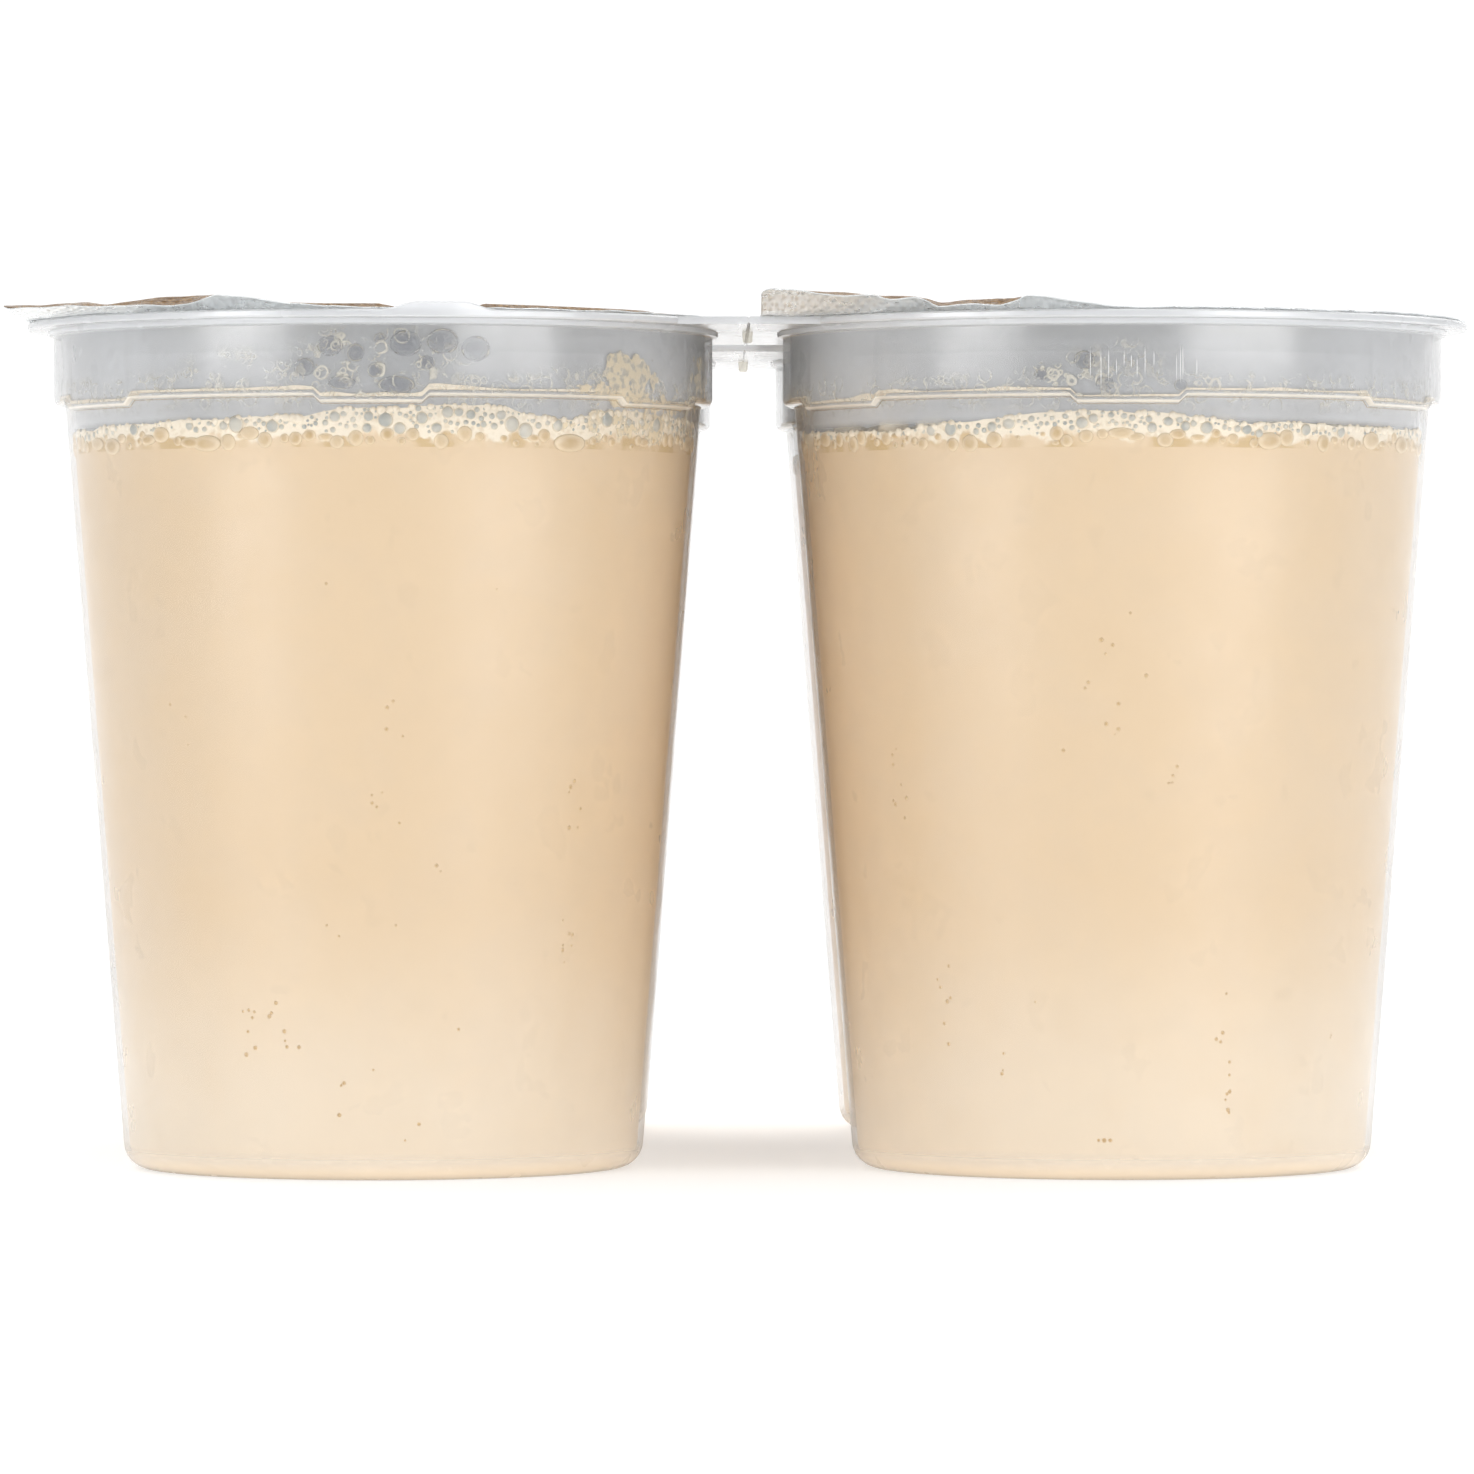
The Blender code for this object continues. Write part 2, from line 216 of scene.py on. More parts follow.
class Ball:
    """A small round bubble or blob with its poles along Y, kept once as a mesh and added many times over."""

    def __init__(self, sides: int, rings: int, slot: int) -> None:
        """Makes the ball that is added.

        Args:
            sides: how many sides round.
            rings: how many rings high.
            slot: index of its material.
        """
        bm = bmesh.new()
        pole_on_y = Matrix.Rotation(math.pi / 2, 4, "X")
        bmesh.ops.create_uvsphere(bm, u_segments=sides, v_segments=rings, radius=1.0, matrix=pole_on_y)
        for face in bm.faces:
            face.material_index = slot
        rim = bm.verts.layers.float.new(RIM)
        for vert in bm.verts:
            vert[rim] = math.hypot(vert.co.x, vert.co.z)
        self.mesh = bpy.data.meshes.new("ball")
        bm.to_mesh(self.mesh)
        bm.free()

    def add(self, bm: bmesh.types.BMesh, matrix: Matrix) -> None:
        """Adds the ball to a bmesh, sized, turned and placed by a matrix.

        Args:
            bm: the bmesh that gets it.
            matrix: its size, turn and place.
        """
        placed = self.mesh.copy()
        placed.transform(matrix)
        bm.from_mesh(placed)
        bpy.data.meshes.remove(placed)


def finish_piece(
    name: str,
    bm: bmesh.types.BMesh,
    materials: Sequence[bpy.types.Material],
    smooth: float | None = 40.0,
) -> bpy.types.Object:
    """Makes a bmesh into a piece of the object, riding on its body.

    Args:
        name: the piece's name.
        bm: the finished bmesh, which is freed.
        materials: the piece's materials, in slot order.
        smooth: angle in degrees past which an edge stays sharp, or None for smooth all over.

    Returns:
        The new object, at the origin.
    """
    mesh = bpy.data.meshes.new(name)
    bm.to_mesh(mesh)
    bm.free()
    for material in materials:
        mesh.materials.append(material)
    mesh.shade_smooth()
    if smooth is not None:
        mesh.set_sharp_from_angle(angle=math.radians(smooth))
    piece = bpy.data.objects.new(name, mesh)
    bpy.context.scene.collection.objects.link(piece)
    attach(piece, BODY)
    LOG.info("%s: %d faces", name, len(mesh.polygons))
    return piece


class Recipe:
    """A material's node tree, with one short call that adds a node and joins it up."""

    def __init__(self, name: str) -> None:
        """Starts an empty material.

        Args:
            name: the material's name.
        """
        self.material = bpy.data.materials.new(name)
        self.material.use_nodes = True
        self.tree = self.material.node_tree
        self.tree.nodes.clear()
        self.output = self.tree.nodes.new("ShaderNodeOutputMaterial")
        self.coords = self.add("ShaderNodeTexCoord").outputs["Object"]

    def add(self, kind: str, inputs: dict | None = None, **settings) -> bpy.types.Node:
        """Adds a node.

        Args:
            kind: the node's type.
            inputs: values or sockets for its inputs, by name or index.
            settings: properties of the node.

        Returns:
            The new node.
        """
        node = self.tree.nodes.new(kind)
        for name, value in settings.items():
            setattr(node, name, value)
        for name, value in (inputs or {}).items():
            if isinstance(value, Socket):
                self.tree.links.new(value, node.inputs[name])
            else:
                node.inputs[name].default_value = value
        return node

    def moved(self, offset: Vector, scale: Sequence[float] = (1, 1, 1)) -> Socket:
        """Object coordinates measured from a point, then scaled."""
        shifted = self.add("ShaderNodeMapping", {"Vector": self.coords, "Location": -offset})
        return self.add("ShaderNodeMapping", {"Vector": shifted.outputs[0], "Scale": scale}).outputs[0]

    def noise(self, scale: float, detail: float = 2.0) -> Socket:
        """Noise from 0 to 1, with a scale in features per metre."""
        inputs = {"Vector": self.coords, "Scale": scale, "Detail": detail}
        return self.add("ShaderNodeTexNoise", inputs).outputs["Fac"]

    def maths(self, operation: str, *values: float | Socket) -> Socket:
        """A Math node's result."""
        return self.add("ShaderNodeMath", dict(enumerate(values)), operation=operation).outputs[0]

    def between(self, value: Socket, low: float, high: float, start: float = 0.0, end: float = 1.0) -> Socket:
        """Maps low to high smoothly onto start to end, held at both ends."""
        inputs = {"Value": value, "From Min": low, "From Max": high, "To Min": start, "To Max": end}
        return self.add("ShaderNodeMapRange", inputs, interpolation_type="SMOOTHSTEP").outputs[0]

    def varied(self, scale: float, start: float, end: float, detail: float = 2.0) -> Socket:
        """A value that a noise moves from start to end."""
        return self.between(self.noise(scale, detail), 0.3, 0.7, start, end)

    def scaled(self, value: Socket, factor: float | Socket) -> Socket:
        """A value times another."""
        return self.maths("MULTIPLY", value, factor)

    def larger(self, first: Socket, second: Socket) -> Socket:
        """The larger of two values."""
        return self.maths("MAXIMUM", first, second)

    def blend(self, share: Socket | float, first: Colour | Socket, second: Colour | Socket) -> Socket:
        """Mixes two colours.

        Args:
            share: how much of the second.
            first: the first colour.
            second: the second colour.

        Returns:
            The mixed colour.
        """
        node = self.add("ShaderNodeMix", data_type="RGBA")
        for socket, value in ((node.inputs[0], share), (node.inputs[6], first), (node.inputs[7], second)):
            if isinstance(value, Socket):
                self.tree.links.new(value, socket)
            else:
                socket.default_value = value if isinstance(value, float) else (*value, 1.0)
        return node.outputs[2]

    def height(self) -> Socket:
        """The height above the floor."""
        return self.add("ShaderNodeSeparateXYZ", {0: self.coords}).outputs[2]

    def attribute(self, name: str) -> Socket:
        """A number that the mesh holds at its vertices."""
        return self.add("ShaderNodeAttribute", attribute_name=name).outputs["Fac"]

    def shader(self, kind: str, colour: Colour | Socket = (1, 1, 1), **inputs) -> Socket:
        """A shader of one colour, such as a Diffuse or a Transparent one.

        Args:
            kind: the last word of the node's type.
            colour: its colour.
            inputs: its other inputs, by name.

        Returns:
            The shader.
        """
        name = "Base Color" if kind == "Principled" else "Color"
        colour = colour if isinstance(colour, Socket) else (*colour, 1)
        return self.add(f"ShaderNodeBsdf{kind}", {name: colour, **inputs}).outputs[0]

    def mixed(self, share: float | Socket, first: Socket, second: Socket) -> Socket:
        """Mixes two shaders."""
        return self.add("ShaderNodeMixShader", {0: share, 1: first, 2: second}).outputs[0]

    def lets_light_in(self, shader: Socket, passed: Colour | Socket = (1, 1, 1)) -> Socket:
        """Lets light through a thin skin, so that it throws little or no shade on what it covers.

        Args:
            shader: the skin's shader.
            passed: the colour of the light that gets through.

        Returns:
            The shader, see-through to shadows and to scattered light.
        """
        path = self.add("ShaderNodeLightPath").outputs
        passing = self.larger(path["Is Shadow Ray"], path["Is Diffuse Ray"])
        return self.mixed(passing, shader, self.shader("Transparent", passed))

    def bump(self, height: Socket, distance: float, strength: float = 1.0) -> Socket:
        """A bumped normal, with a depth in metres."""
        inputs = {"Height": height, "Distance": distance, "Strength": strength}
        return self.add("ShaderNodeBump", inputs).outputs[0]

    def done(self, shader: Socket) -> bpy.types.Material:
        """Joins the shader to the output and gives the material."""
        self.tree.links.new(shader, self.output.inputs["Surface"])
        return self.material


@dataclass(frozen=True)
class CupPlastic:
    """Thin see-through plastic: clear next to the dessert, misted in the headspace, milky at the rim.

    Most of the mist is on the inner face, so that what has dried on the wall shows in front of it.
    """

    tint: Colour = (0.76, 0.775, 0.80)
    rim_tint: Colour = (0.88, 0.90, 0.93)
    # The foot's pale cream tint is partly the thick milky plastic and partly painted light that lifts the
    # shade near the floor.
    foot_tint: Colour = (0.96, 0.83, 0.66)
    # Painted highlight: a pale line at the bottom of the ledge's rounding.
    ledge_tint: Colour = (1.0, 0.95, 0.86)
    # Painted shadow: a brown line in the tuck under the ledge.
    tuck_tint: Colour = (0.50, 0.40, 0.28)
    body_haze: float = 0.03
    headspace_haze: float = 0.10
    inner_haze: float = 0.58
    flange_haze: float = 0.78
    edge_haze: float = 0.3
    outer_edge_haze: float = 0.11
    ledge_haze: float = 0.85
    foot_haze: float = 0.95
    tuck_haze: float = 0.5
    through_share: float = 0.25
    mirror_facing: float = 0.04
    mirror_grazing: float = 0.9
    gloss_roughness: float = 0.23
    line_height: float = 70.6 * MM
    line_haze: float = 0.07
    fill_height: float = 64.3 * MM
    foot_height: float = 1.5 * MM
    light_passed: float = 0.86

    def material(self) -> bpy.types.Material:
        """Makes the plastic's material.

        Returns:
            The material.
        """
        recipe = Recipe("cup_plastic")
        height = recipe.height()
        above = recipe.between(height, self.fill_height, self.fill_height + 1.0 * MM)
        at_rim = recipe.between(height, CUP.band_top - 0.2 * MM, CUP.band_top + 0.2 * MM)
        at_foot = recipe.between(height, self.foot_height - 1.0 * MM, self.foot_height + 1.2 * MM, 1.0, 0.0)
        facing = recipe.add("ShaderNodeLayerWeight", {"Blend": 0.5}).outputs["Facing"]
        edge = recipe.between(facing, 0.1, 0.5)
        haze = recipe.between(above, 0.0, 1.0, self.body_haze, self.headspace_haze)
        behind = recipe.maths("MULTIPLY_ADD", edge, self.edge_haze, self.inner_haze)
        misted = recipe.scaled(above, recipe.attribute(INNER))
        haze = recipe.larger(haze, recipe.scaled(misted, behind))
        line = (self.line_height - 0.1 * MM, self.line_height + 0.1 * MM)
        below = recipe.between(height, *line, self.line_haze, 0.0)
        for more in (
            recipe.scaled(misted, below),
            recipe.scaled(edge, self.outer_edge_haze),
            recipe.varied(140.0, -0.03, 0.03, 3.0),
        ):
            haze = recipe.maths("ADD", haze, more)
        # Masks for the painted highlight at the bottom of the ledge's rounding and the painted shadow line in
        # the tuck below it.
        lit = recipe.between(recipe.attribute(LEDGE_HIGHLIGHT_AND_SHADOW), 0.1, 0.8)
        painted_shadow_line = recipe.between(recipe.attribute(LEDGE_HIGHLIGHT_AND_SHADOW), -0.9, -0.2, 1.0, 0.0)
        for where, least in (
            (at_rim, self.flange_haze),
            (at_foot, self.foot_haze),
            (lit, self.ledge_haze),
            (painted_shadow_line, self.tuck_haze),
        ):
            haze = recipe.larger(haze, recipe.scaled(where, least))
        haze = recipe.add("ShaderNodeClamp", {"Value": haze, "Min": 0.02, "Max": 0.95}).outputs[0]
        normal = recipe.bump(recipe.noise(260.0), 0.03 * MM, 0.25)
        # The foot's tint is partly painted light. The ledge gets a painted highlight tint and a painted
        # shadow tint.
        tint = recipe.blend(at_foot, recipe.blend(at_rim, self.tint, self.rim_tint), self.foot_tint)
        tint = recipe.blend(painted_shadow_line, recipe.blend(lit, tint, self.ledge_tint), self.tuck_tint)
        worn = recipe.varied(220.0, -0.05, 0.05, 3.0)
        milky = recipe.shader("Principled", tint, Roughness=recipe.maths("ADD", worn, 0.32), Normal=normal)
        milky = recipe.mixed(self.through_share, milky, recipe.shader("Translucent", tint))
        wall = recipe.mixed(haze, recipe.shader("Transparent", (0.99, 0.992, 0.995)), milky)
        polish = recipe.maths("ADD", worn, self.gloss_roughness)
        shine = recipe.add("ShaderNodeBsdfGlossy", {"Roughness": polish, "Normal": normal}).outputs[0]
        grazing = recipe.maths("POWER", facing, 5.0)
        mirror = recipe.maths("MULTIPLY_ADD", grazing, self.mirror_grazing, self.mirror_facing)
        dimmed = recipe.blend(above, (1.0, 1.0, 1.0), (self.light_passed,) * 3)
        return recipe.done(recipe.lets_light_in(recipe.mixed(mirror, wall, shine), dimmed))


@dataclass(frozen=True)
class PinPlastic:
    """The same plastic where it is thick: milky and a little cream."""

    colour: Colour = (0.95, 0.93, 0.86)
    clear_colour: Colour = (1.0, 0.98, 0.93)
    through_share: float = 0.5
    clear_share: float = 0.68

    def material(self) -> bpy.types.Material:
        """Makes the pins' material.

        Returns:
            The material.
        """
        recipe = Recipe("pin_plastic")
        normal = recipe.bump(recipe.noise(1200.0), 0.03 * MM, 0.4)
        rough = recipe.varied(900.0, 0.3, 0.45)
        solid = recipe.shader("Principled", self.colour, Roughness=rough, Normal=normal)
        milky = recipe.mixed(self.through_share, solid, recipe.shader("Translucent", self.colour))
        clear = recipe.shader("Transparent", self.clear_colour)
        return recipe.done(recipe.lets_light_in(recipe.mixed(self.clear_share, milky, clear)))


@dataclass(frozen=True)
class Dessert:
    """Smooth beige dessert, paler towards the foot: the paler colour is painted light that stands in for the
    light from the floor.
    """

    colour: Colour = (0.745, 0.565, 0.365)
    pale: Colour = (0.835, 0.705, 0.543)
    deep: Colour = (0.72, 0.53, 0.32)
    pale_below: float = 2.0 * MM
    beige_above: float = 27.0 * MM

    def material(self) -> bpy.types.Material:
        """Makes the dessert's material.

        Returns:
            The material.
        """
        recipe = Recipe("dessert")
        # Painted light: the colour grows paler towards the foot, standing in for the light from the floor.
        foot = recipe.between(recipe.height(), self.pale_below, self.beige_above, 1.0, 0.0)
        mottle = recipe.between(recipe.noise(180.0, 4.0), 0.45, 0.75, 0.0, 0.12)
        colour = recipe.blend(mottle, recipe.blend(foot, self.colour, self.pale), self.deep)
        rough = recipe.varied(300.0, 0.38, 0.48, 3.0)
        normal = recipe.bump(recipe.noise(900.0, 3.0), 0.03 * MM, 0.25)
        return recipe.done(recipe.shader("Principled", colour, Roughness=rough, Normal=normal))


@dataclass(frozen=True)
class Froth:
    """Pale foam: a cream net of fine cells, with tan stains where it rests on the dessert."""

    colour: Colour = (0.90, 0.80, 0.64)
    cell: Colour = (0.74, 0.62, 0.45)
    dessert: Colour = (0.76, 0.585, 0.385)
    stain: Colour = (0.62, 0.44, 0.22)
    rest_height: float = 63.35 * MM

    def material(self) -> bpy.types.Material:
        """Makes the foam's material.

        Returns:
            The material.
        """
        recipe = Recipe("froth")
        inputs = {"Vector": recipe.coords, "Scale": 1500.0}
        cells = recipe.add("ShaderNodeTexVoronoi", inputs, feature="DISTANCE_TO_EDGE")
        inside = recipe.between(cells.outputs["Distance"], 0.08, 0.3)
        patches = recipe.between(recipe.noise(350.0, 3.0), 0.45, 0.6, 0.05, 0.75)
        share = recipe.scaled(inside, patches)
        wave = recipe.varied(520.0, -0.55 * MM, 0.55 * MM, 3.0)
        low = recipe.maths("ADD", recipe.height(), wave)
        low = recipe.between(low, self.rest_height - 0.25 * MM, self.rest_height + 0.3 * MM, 1.0, 0.0)
        stained = recipe.between(recipe.noise(240.0, 4.0), 0.44, 0.6)
        resting = recipe.blend(stained, self.dessert, self.stain)
        colour = recipe.blend(low, recipe.blend(share, self.colour, self.cell), resting)
        rough = recipe.varied(700.0, 0.42, 0.6)
        normal = recipe.bump(inside, 0.1 * MM, -0.5)
        return recipe.done(recipe.shader("Principled", colour, Roughness=rough, Normal=normal))


@dataclass(frozen=True)
class Bubble:
    """A bubble against the wall: one colour in its middle that fades to the foam's at its rim."""

    name: str
    middle: Colour
    rim: Colour
    fade_from: float = 0.6
    fade_to: float = 0.95

    def material(self) -> bpy.types.Material:
        """Makes the bubble's material.

        Returns:
            The material.
        """
        recipe = Recipe(self.name)
        edge = recipe.between(recipe.attribute(RIM), self.fade_from, self.fade_to)
        middle = recipe.blend(recipe.varied(500.0, 0.0, 0.45), self.middle, self.rim)
        colour = recipe.blend(edge, middle, self.rim)
        rough = recipe.varied(800.0, 0.3, 0.45)
        normal = recipe.bump(recipe.noise(1500.0), 0.02 * MM, 0.3)
        return recipe.done(recipe.shader("Principled", colour, Roughness=rough, Normal=normal))


SPOTS = (
    Bubble("tan_bubble", (0.56, 0.39, 0.19), (0.80, 0.65, 0.45), 0.3, 1.0),
    # The clear bubbles' grey middles are painted shade, standing for the dim inside seen through each bubble.
    Bubble("clear_bubble", (0.40, 0.41, 0.38), Froth.colour, 0.72, 1.0),
    Bubble("speck", (0.57, 0.38, 0.18), (0.74, 0.55, 0.33), 0.4, 1.0),
)
SCRATCH = Bubble("scratch", (0.92, 0.92, 0.92), (0.88, 0.88, 0.88))


@dataclass(frozen=True)
class WallBubble:
    """A burst bubble on the bare wall: a faint dark window of painted shade, standing for the dim headspace
    seen through the clean spot, with a thin broken rim.
    """

    window: Colour = (0.27, 0.285, 0.335)
    rim: Colour = (0.74, 0.69, 0.58)
    strength: float = 0.15

    def material(self) -> bpy.types.Material:
        """Makes the burst bubble's material.

        Returns:
            The material.
        """
        recipe = Recipe("wall_bubble")
        place = recipe.attribute(RIM)
        outer = recipe.between(place, 0.96, 1.0, 1.0, 0.0)
        ring = recipe.scaled(recipe.between(place, 0.78, 0.9), outer)
        ring = recipe.scaled(ring, recipe.between(recipe.noise(900.0, 3.0), 0.4, 0.6, 0.15, 0.8))
        # The dark window is painted shade, strongest in the middle.
        window = recipe.between(place, 0.45, 0.98, self.strength, 0.0)
        colour = recipe.blend(ring, self.window, self.rim)
        rough = recipe.varied(800.0, 0.3, 0.5)
        normal = recipe.bump(ring, 0.03 * MM, 0.5)
        paint = recipe.shader("Principled", colour, Roughness=rough, Normal=normal)
        return recipe.done(recipe.mixed(recipe.larger(ring, window), recipe.shader("Transparent"), paint))


@dataclass(frozen=True)
class DriedFilm:
    """What the foam left inside the wall: broken rings and strands of bubbles, and a dried splash."""

    cream: Colour = (0.84, 0.79, 0.67)
    tan: Colour = (0.84, 0.70, 0.47)
    net_cover: float = 0.8

    def rings(self, recipe: Recipe, vector: Socket, scale: float, radius: float, width: float) -> Socket:
        """Thin rings like the outlines of small bubbles.

        Args:
            recipe: the material they are for.
            vector: the coordinates they follow.
            scale: how many bubbles go to a metre.
            radius: how far a ring is from its middle, as a share of the spacing.
            width: how wide its line is, as a share of the spacing.

        Returns:
            1 on a ring's line and 0 off it.
        """
        cells = recipe.add("ShaderNodeTexVoronoi", {"Vector": vector, "Scale": scale}, feature="F1")
        off = recipe.maths("ABSOLUTE", recipe.maths("SUBTRACT", cells.outputs["Distance"], radius))
        return recipe.between(off, width * 0.5, width, 1.0, 0.0)

    def material(self) -> bpy.types.Material:
        """Makes the film's material, see-through where the wall is clean.

        Returns:
            The material.
        """
        recipe = Recipe("dried_film")
        wobble = recipe.add("ShaderNodeTexNoise", {"Vector": recipe.coords, "Scale": 700.0, "Detail": 2.0})
        middle = {0: wobble.outputs["Color"], 1: (0.5, 0.5, 0.5)}
        centred = recipe.add("ShaderNodeVectorMath", middle, operation="SUBTRACT").outputs[0]
        sized = {0: centred, "Scale": 0.5 * MM}
        shift = recipe.add("ShaderNodeVectorMath", sized, operation="SCALE").outputs[0]
        both = {0: recipe.coords, 1: shift}
        warped = recipe.add("ShaderNodeVectorMath", both, operation="ADD").outputs[0]
        large = self.rings(recipe, warped, 620.0, 0.42, 0.06)
        small = self.rings(recipe, warped, 1500.0, 0.4, 0.11)
        small = recipe.scaled(small, recipe.between(recipe.noise(420.0), 0.42, 0.54))
        strands = recipe.between(recipe.noise(900.0, 5.0), 0.56, 0.66, 0.0, 0.6)
        breaks = recipe.between(recipe.noise(620.0, 3.0), 0.38, 0.56)
        net = recipe.larger(recipe.larger(large, small), strands)
        net = recipe.scaled(recipe.scaled(net, breaks), recipe.attribute(NET))
        ragged = recipe.maths("ADD", recipe.attribute(SPLASH), recipe.varied(800.0, -0.6, 0.5, 7.0))
        splash = recipe.between(ragged, 0.52, 0.66, 0.0, 0.9)
        thin = recipe.between(recipe.noise(1500.0, 4.0), 0.38, 0.54, 0.5, 1.0)
        splash = recipe.scaled(splash, thin)
        colour = recipe.blend(splash, self.cream, self.tan)
        cover = recipe.larger(recipe.scaled(net, self.net_cover), splash)
        rough = recipe.varied(600.0, 0.4, 0.6)
        normal = recipe.bump(cover, 0.06 * MM, 0.5)
        paste = recipe.shader("Principled", colour, Roughness=rough, Normal=normal)
        return recipe.done(recipe.mixed(cover, recipe.shader("Transparent"), paste))


@dataclass(frozen=True)
class FoilFace:
    """One face of the lid's foil: embossed all over, and bare or lacquered."""

    name: str
    pot: Pot
    lacquered: bool
    silver: Colour = (0.84, 0.87, 0.88)
    brown: Colour = (0.17, 0.09, 0.028)
    dark: Colour = (0.13, 0.065, 0.02)
    golden: Colour = (0.48, 0.29, 0.10)
    caramel: Colour = (0.70, 0.42, 0.16)
    cream: Colour = (0.85, 0.72, 0.50)
    crease_depth: float = 1.6
    disc_radius: float = 17.15 * MM
    ring_radius: float = 18.4 * MM
    ring_half_width: float = 0.6 * MM
    wave_height: float = 1.3 * MM
    wave_turns: float = 330.0
    blur: float = 0.15 * MM

    def emboss(self, recipe: Recipe) -> Socket:
        """The height of the foil's fine diamond pattern and its small creases.

        Args:
            recipe: the material it is for.

        Returns:
            The height, from about 0 to 2.6.
        """
        waves = []
        for turn in (0.5, -0.5):
            inputs = {"Vector": recipe.coords, "Rotation": (0, 0, turn)}
            turned = recipe.add("ShaderNodeMapping", inputs).outputs[0]
            inputs = {"Vector": turned, "Scale": 330.0, "Distortion": 1.2, "Detail": 1.0}
            waves.append(recipe.add("ShaderNodeTexWave", inputs).outputs["Fac"])
        pattern = recipe.scaled(waves[0], waves[1])
        return recipe.maths("ADD", pattern, recipe.scaled(recipe.noise(420.0, 5.0), self.crease_depth))

    def print_colour(self, recipe: Recipe) -> Socket:
        """The plain print: a grained brown field and a ringed caramel disc, cream below a wavy line.

        Args:
            recipe: the material it is for.

        Returns:
            The print's colour.
        """
        local = recipe.moved(self.pot.centre, (1, 1, 0))
        away = recipe.add("ShaderNodeVectorMath", {0: local}, operation="LENGTH").outputs["Value"]
        inputs = {"Vector": local, "Scale": 14.0, "Distortion": 3.0, "Detail": 0.0}
        swirl = recipe.add("ShaderNodeTexWave", inputs).outputs["Fac"]
        field_colour = recipe.blend(recipe.between(swirl, 0.45, 0.55, 0.0, 0.5), self.brown, self.dark)
        grain = recipe.between(recipe.noise(3200.0, 3.0), 0.45, 0.65, 0.0, 0.5)
        field_colour = recipe.blend(grain, field_colour, self.golden)
        middle = recipe.between(away, self.disc_radius - self.blur, self.disc_radius + self.blur, 1.0, 0.0)
        colour = recipe.blend(middle, field_colour, self.caramel)
        off = recipe.maths("ABSOLUTE", recipe.maths("SUBTRACT", away, self.ring_radius))
        edges = (self.ring_half_width - 0.1 * MM, self.ring_half_width + 0.1 * MM)
        colour = recipe.blend(recipe.between(off, *edges, 1.0, 0.0), colour, self.cream)
        across, along = recipe.add("ShaderNodeSeparateXYZ", {0: local}).outputs[:2]
        sine = recipe.maths("SINE", recipe.scaled(across, self.wave_turns))
        above = recipe.maths("SUBTRACT", along, recipe.scaled(sine, self.wave_height))
        filled = recipe.scaled(recipe.between(above, -self.blur, self.blur, 1.0, 0.0), middle)
        return recipe.blend(filled, colour, self.cream)

    def material(self) -> bpy.types.Material:
        """Makes the foil face's material.

        Returns:
            The material.
        """
        recipe = Recipe(self.name)
        colour = self.print_colour(recipe) if self.lacquered else self.silver
        inputs = {
            "Metallic": 0.0 if self.lacquered else 0.6,
            "Specular IOR Level": 0.05 if self.lacquered else 0.5,
            "Roughness": recipe.between(recipe.noise(500.0, 3.0), 0.35, 0.7, 0.26, 0.42),
            "Normal": recipe.bump(self.emboss(recipe), 0.16 * MM, 0.6),
        }
        return recipe.done(recipe.shader("Principled", colour, **inputs))


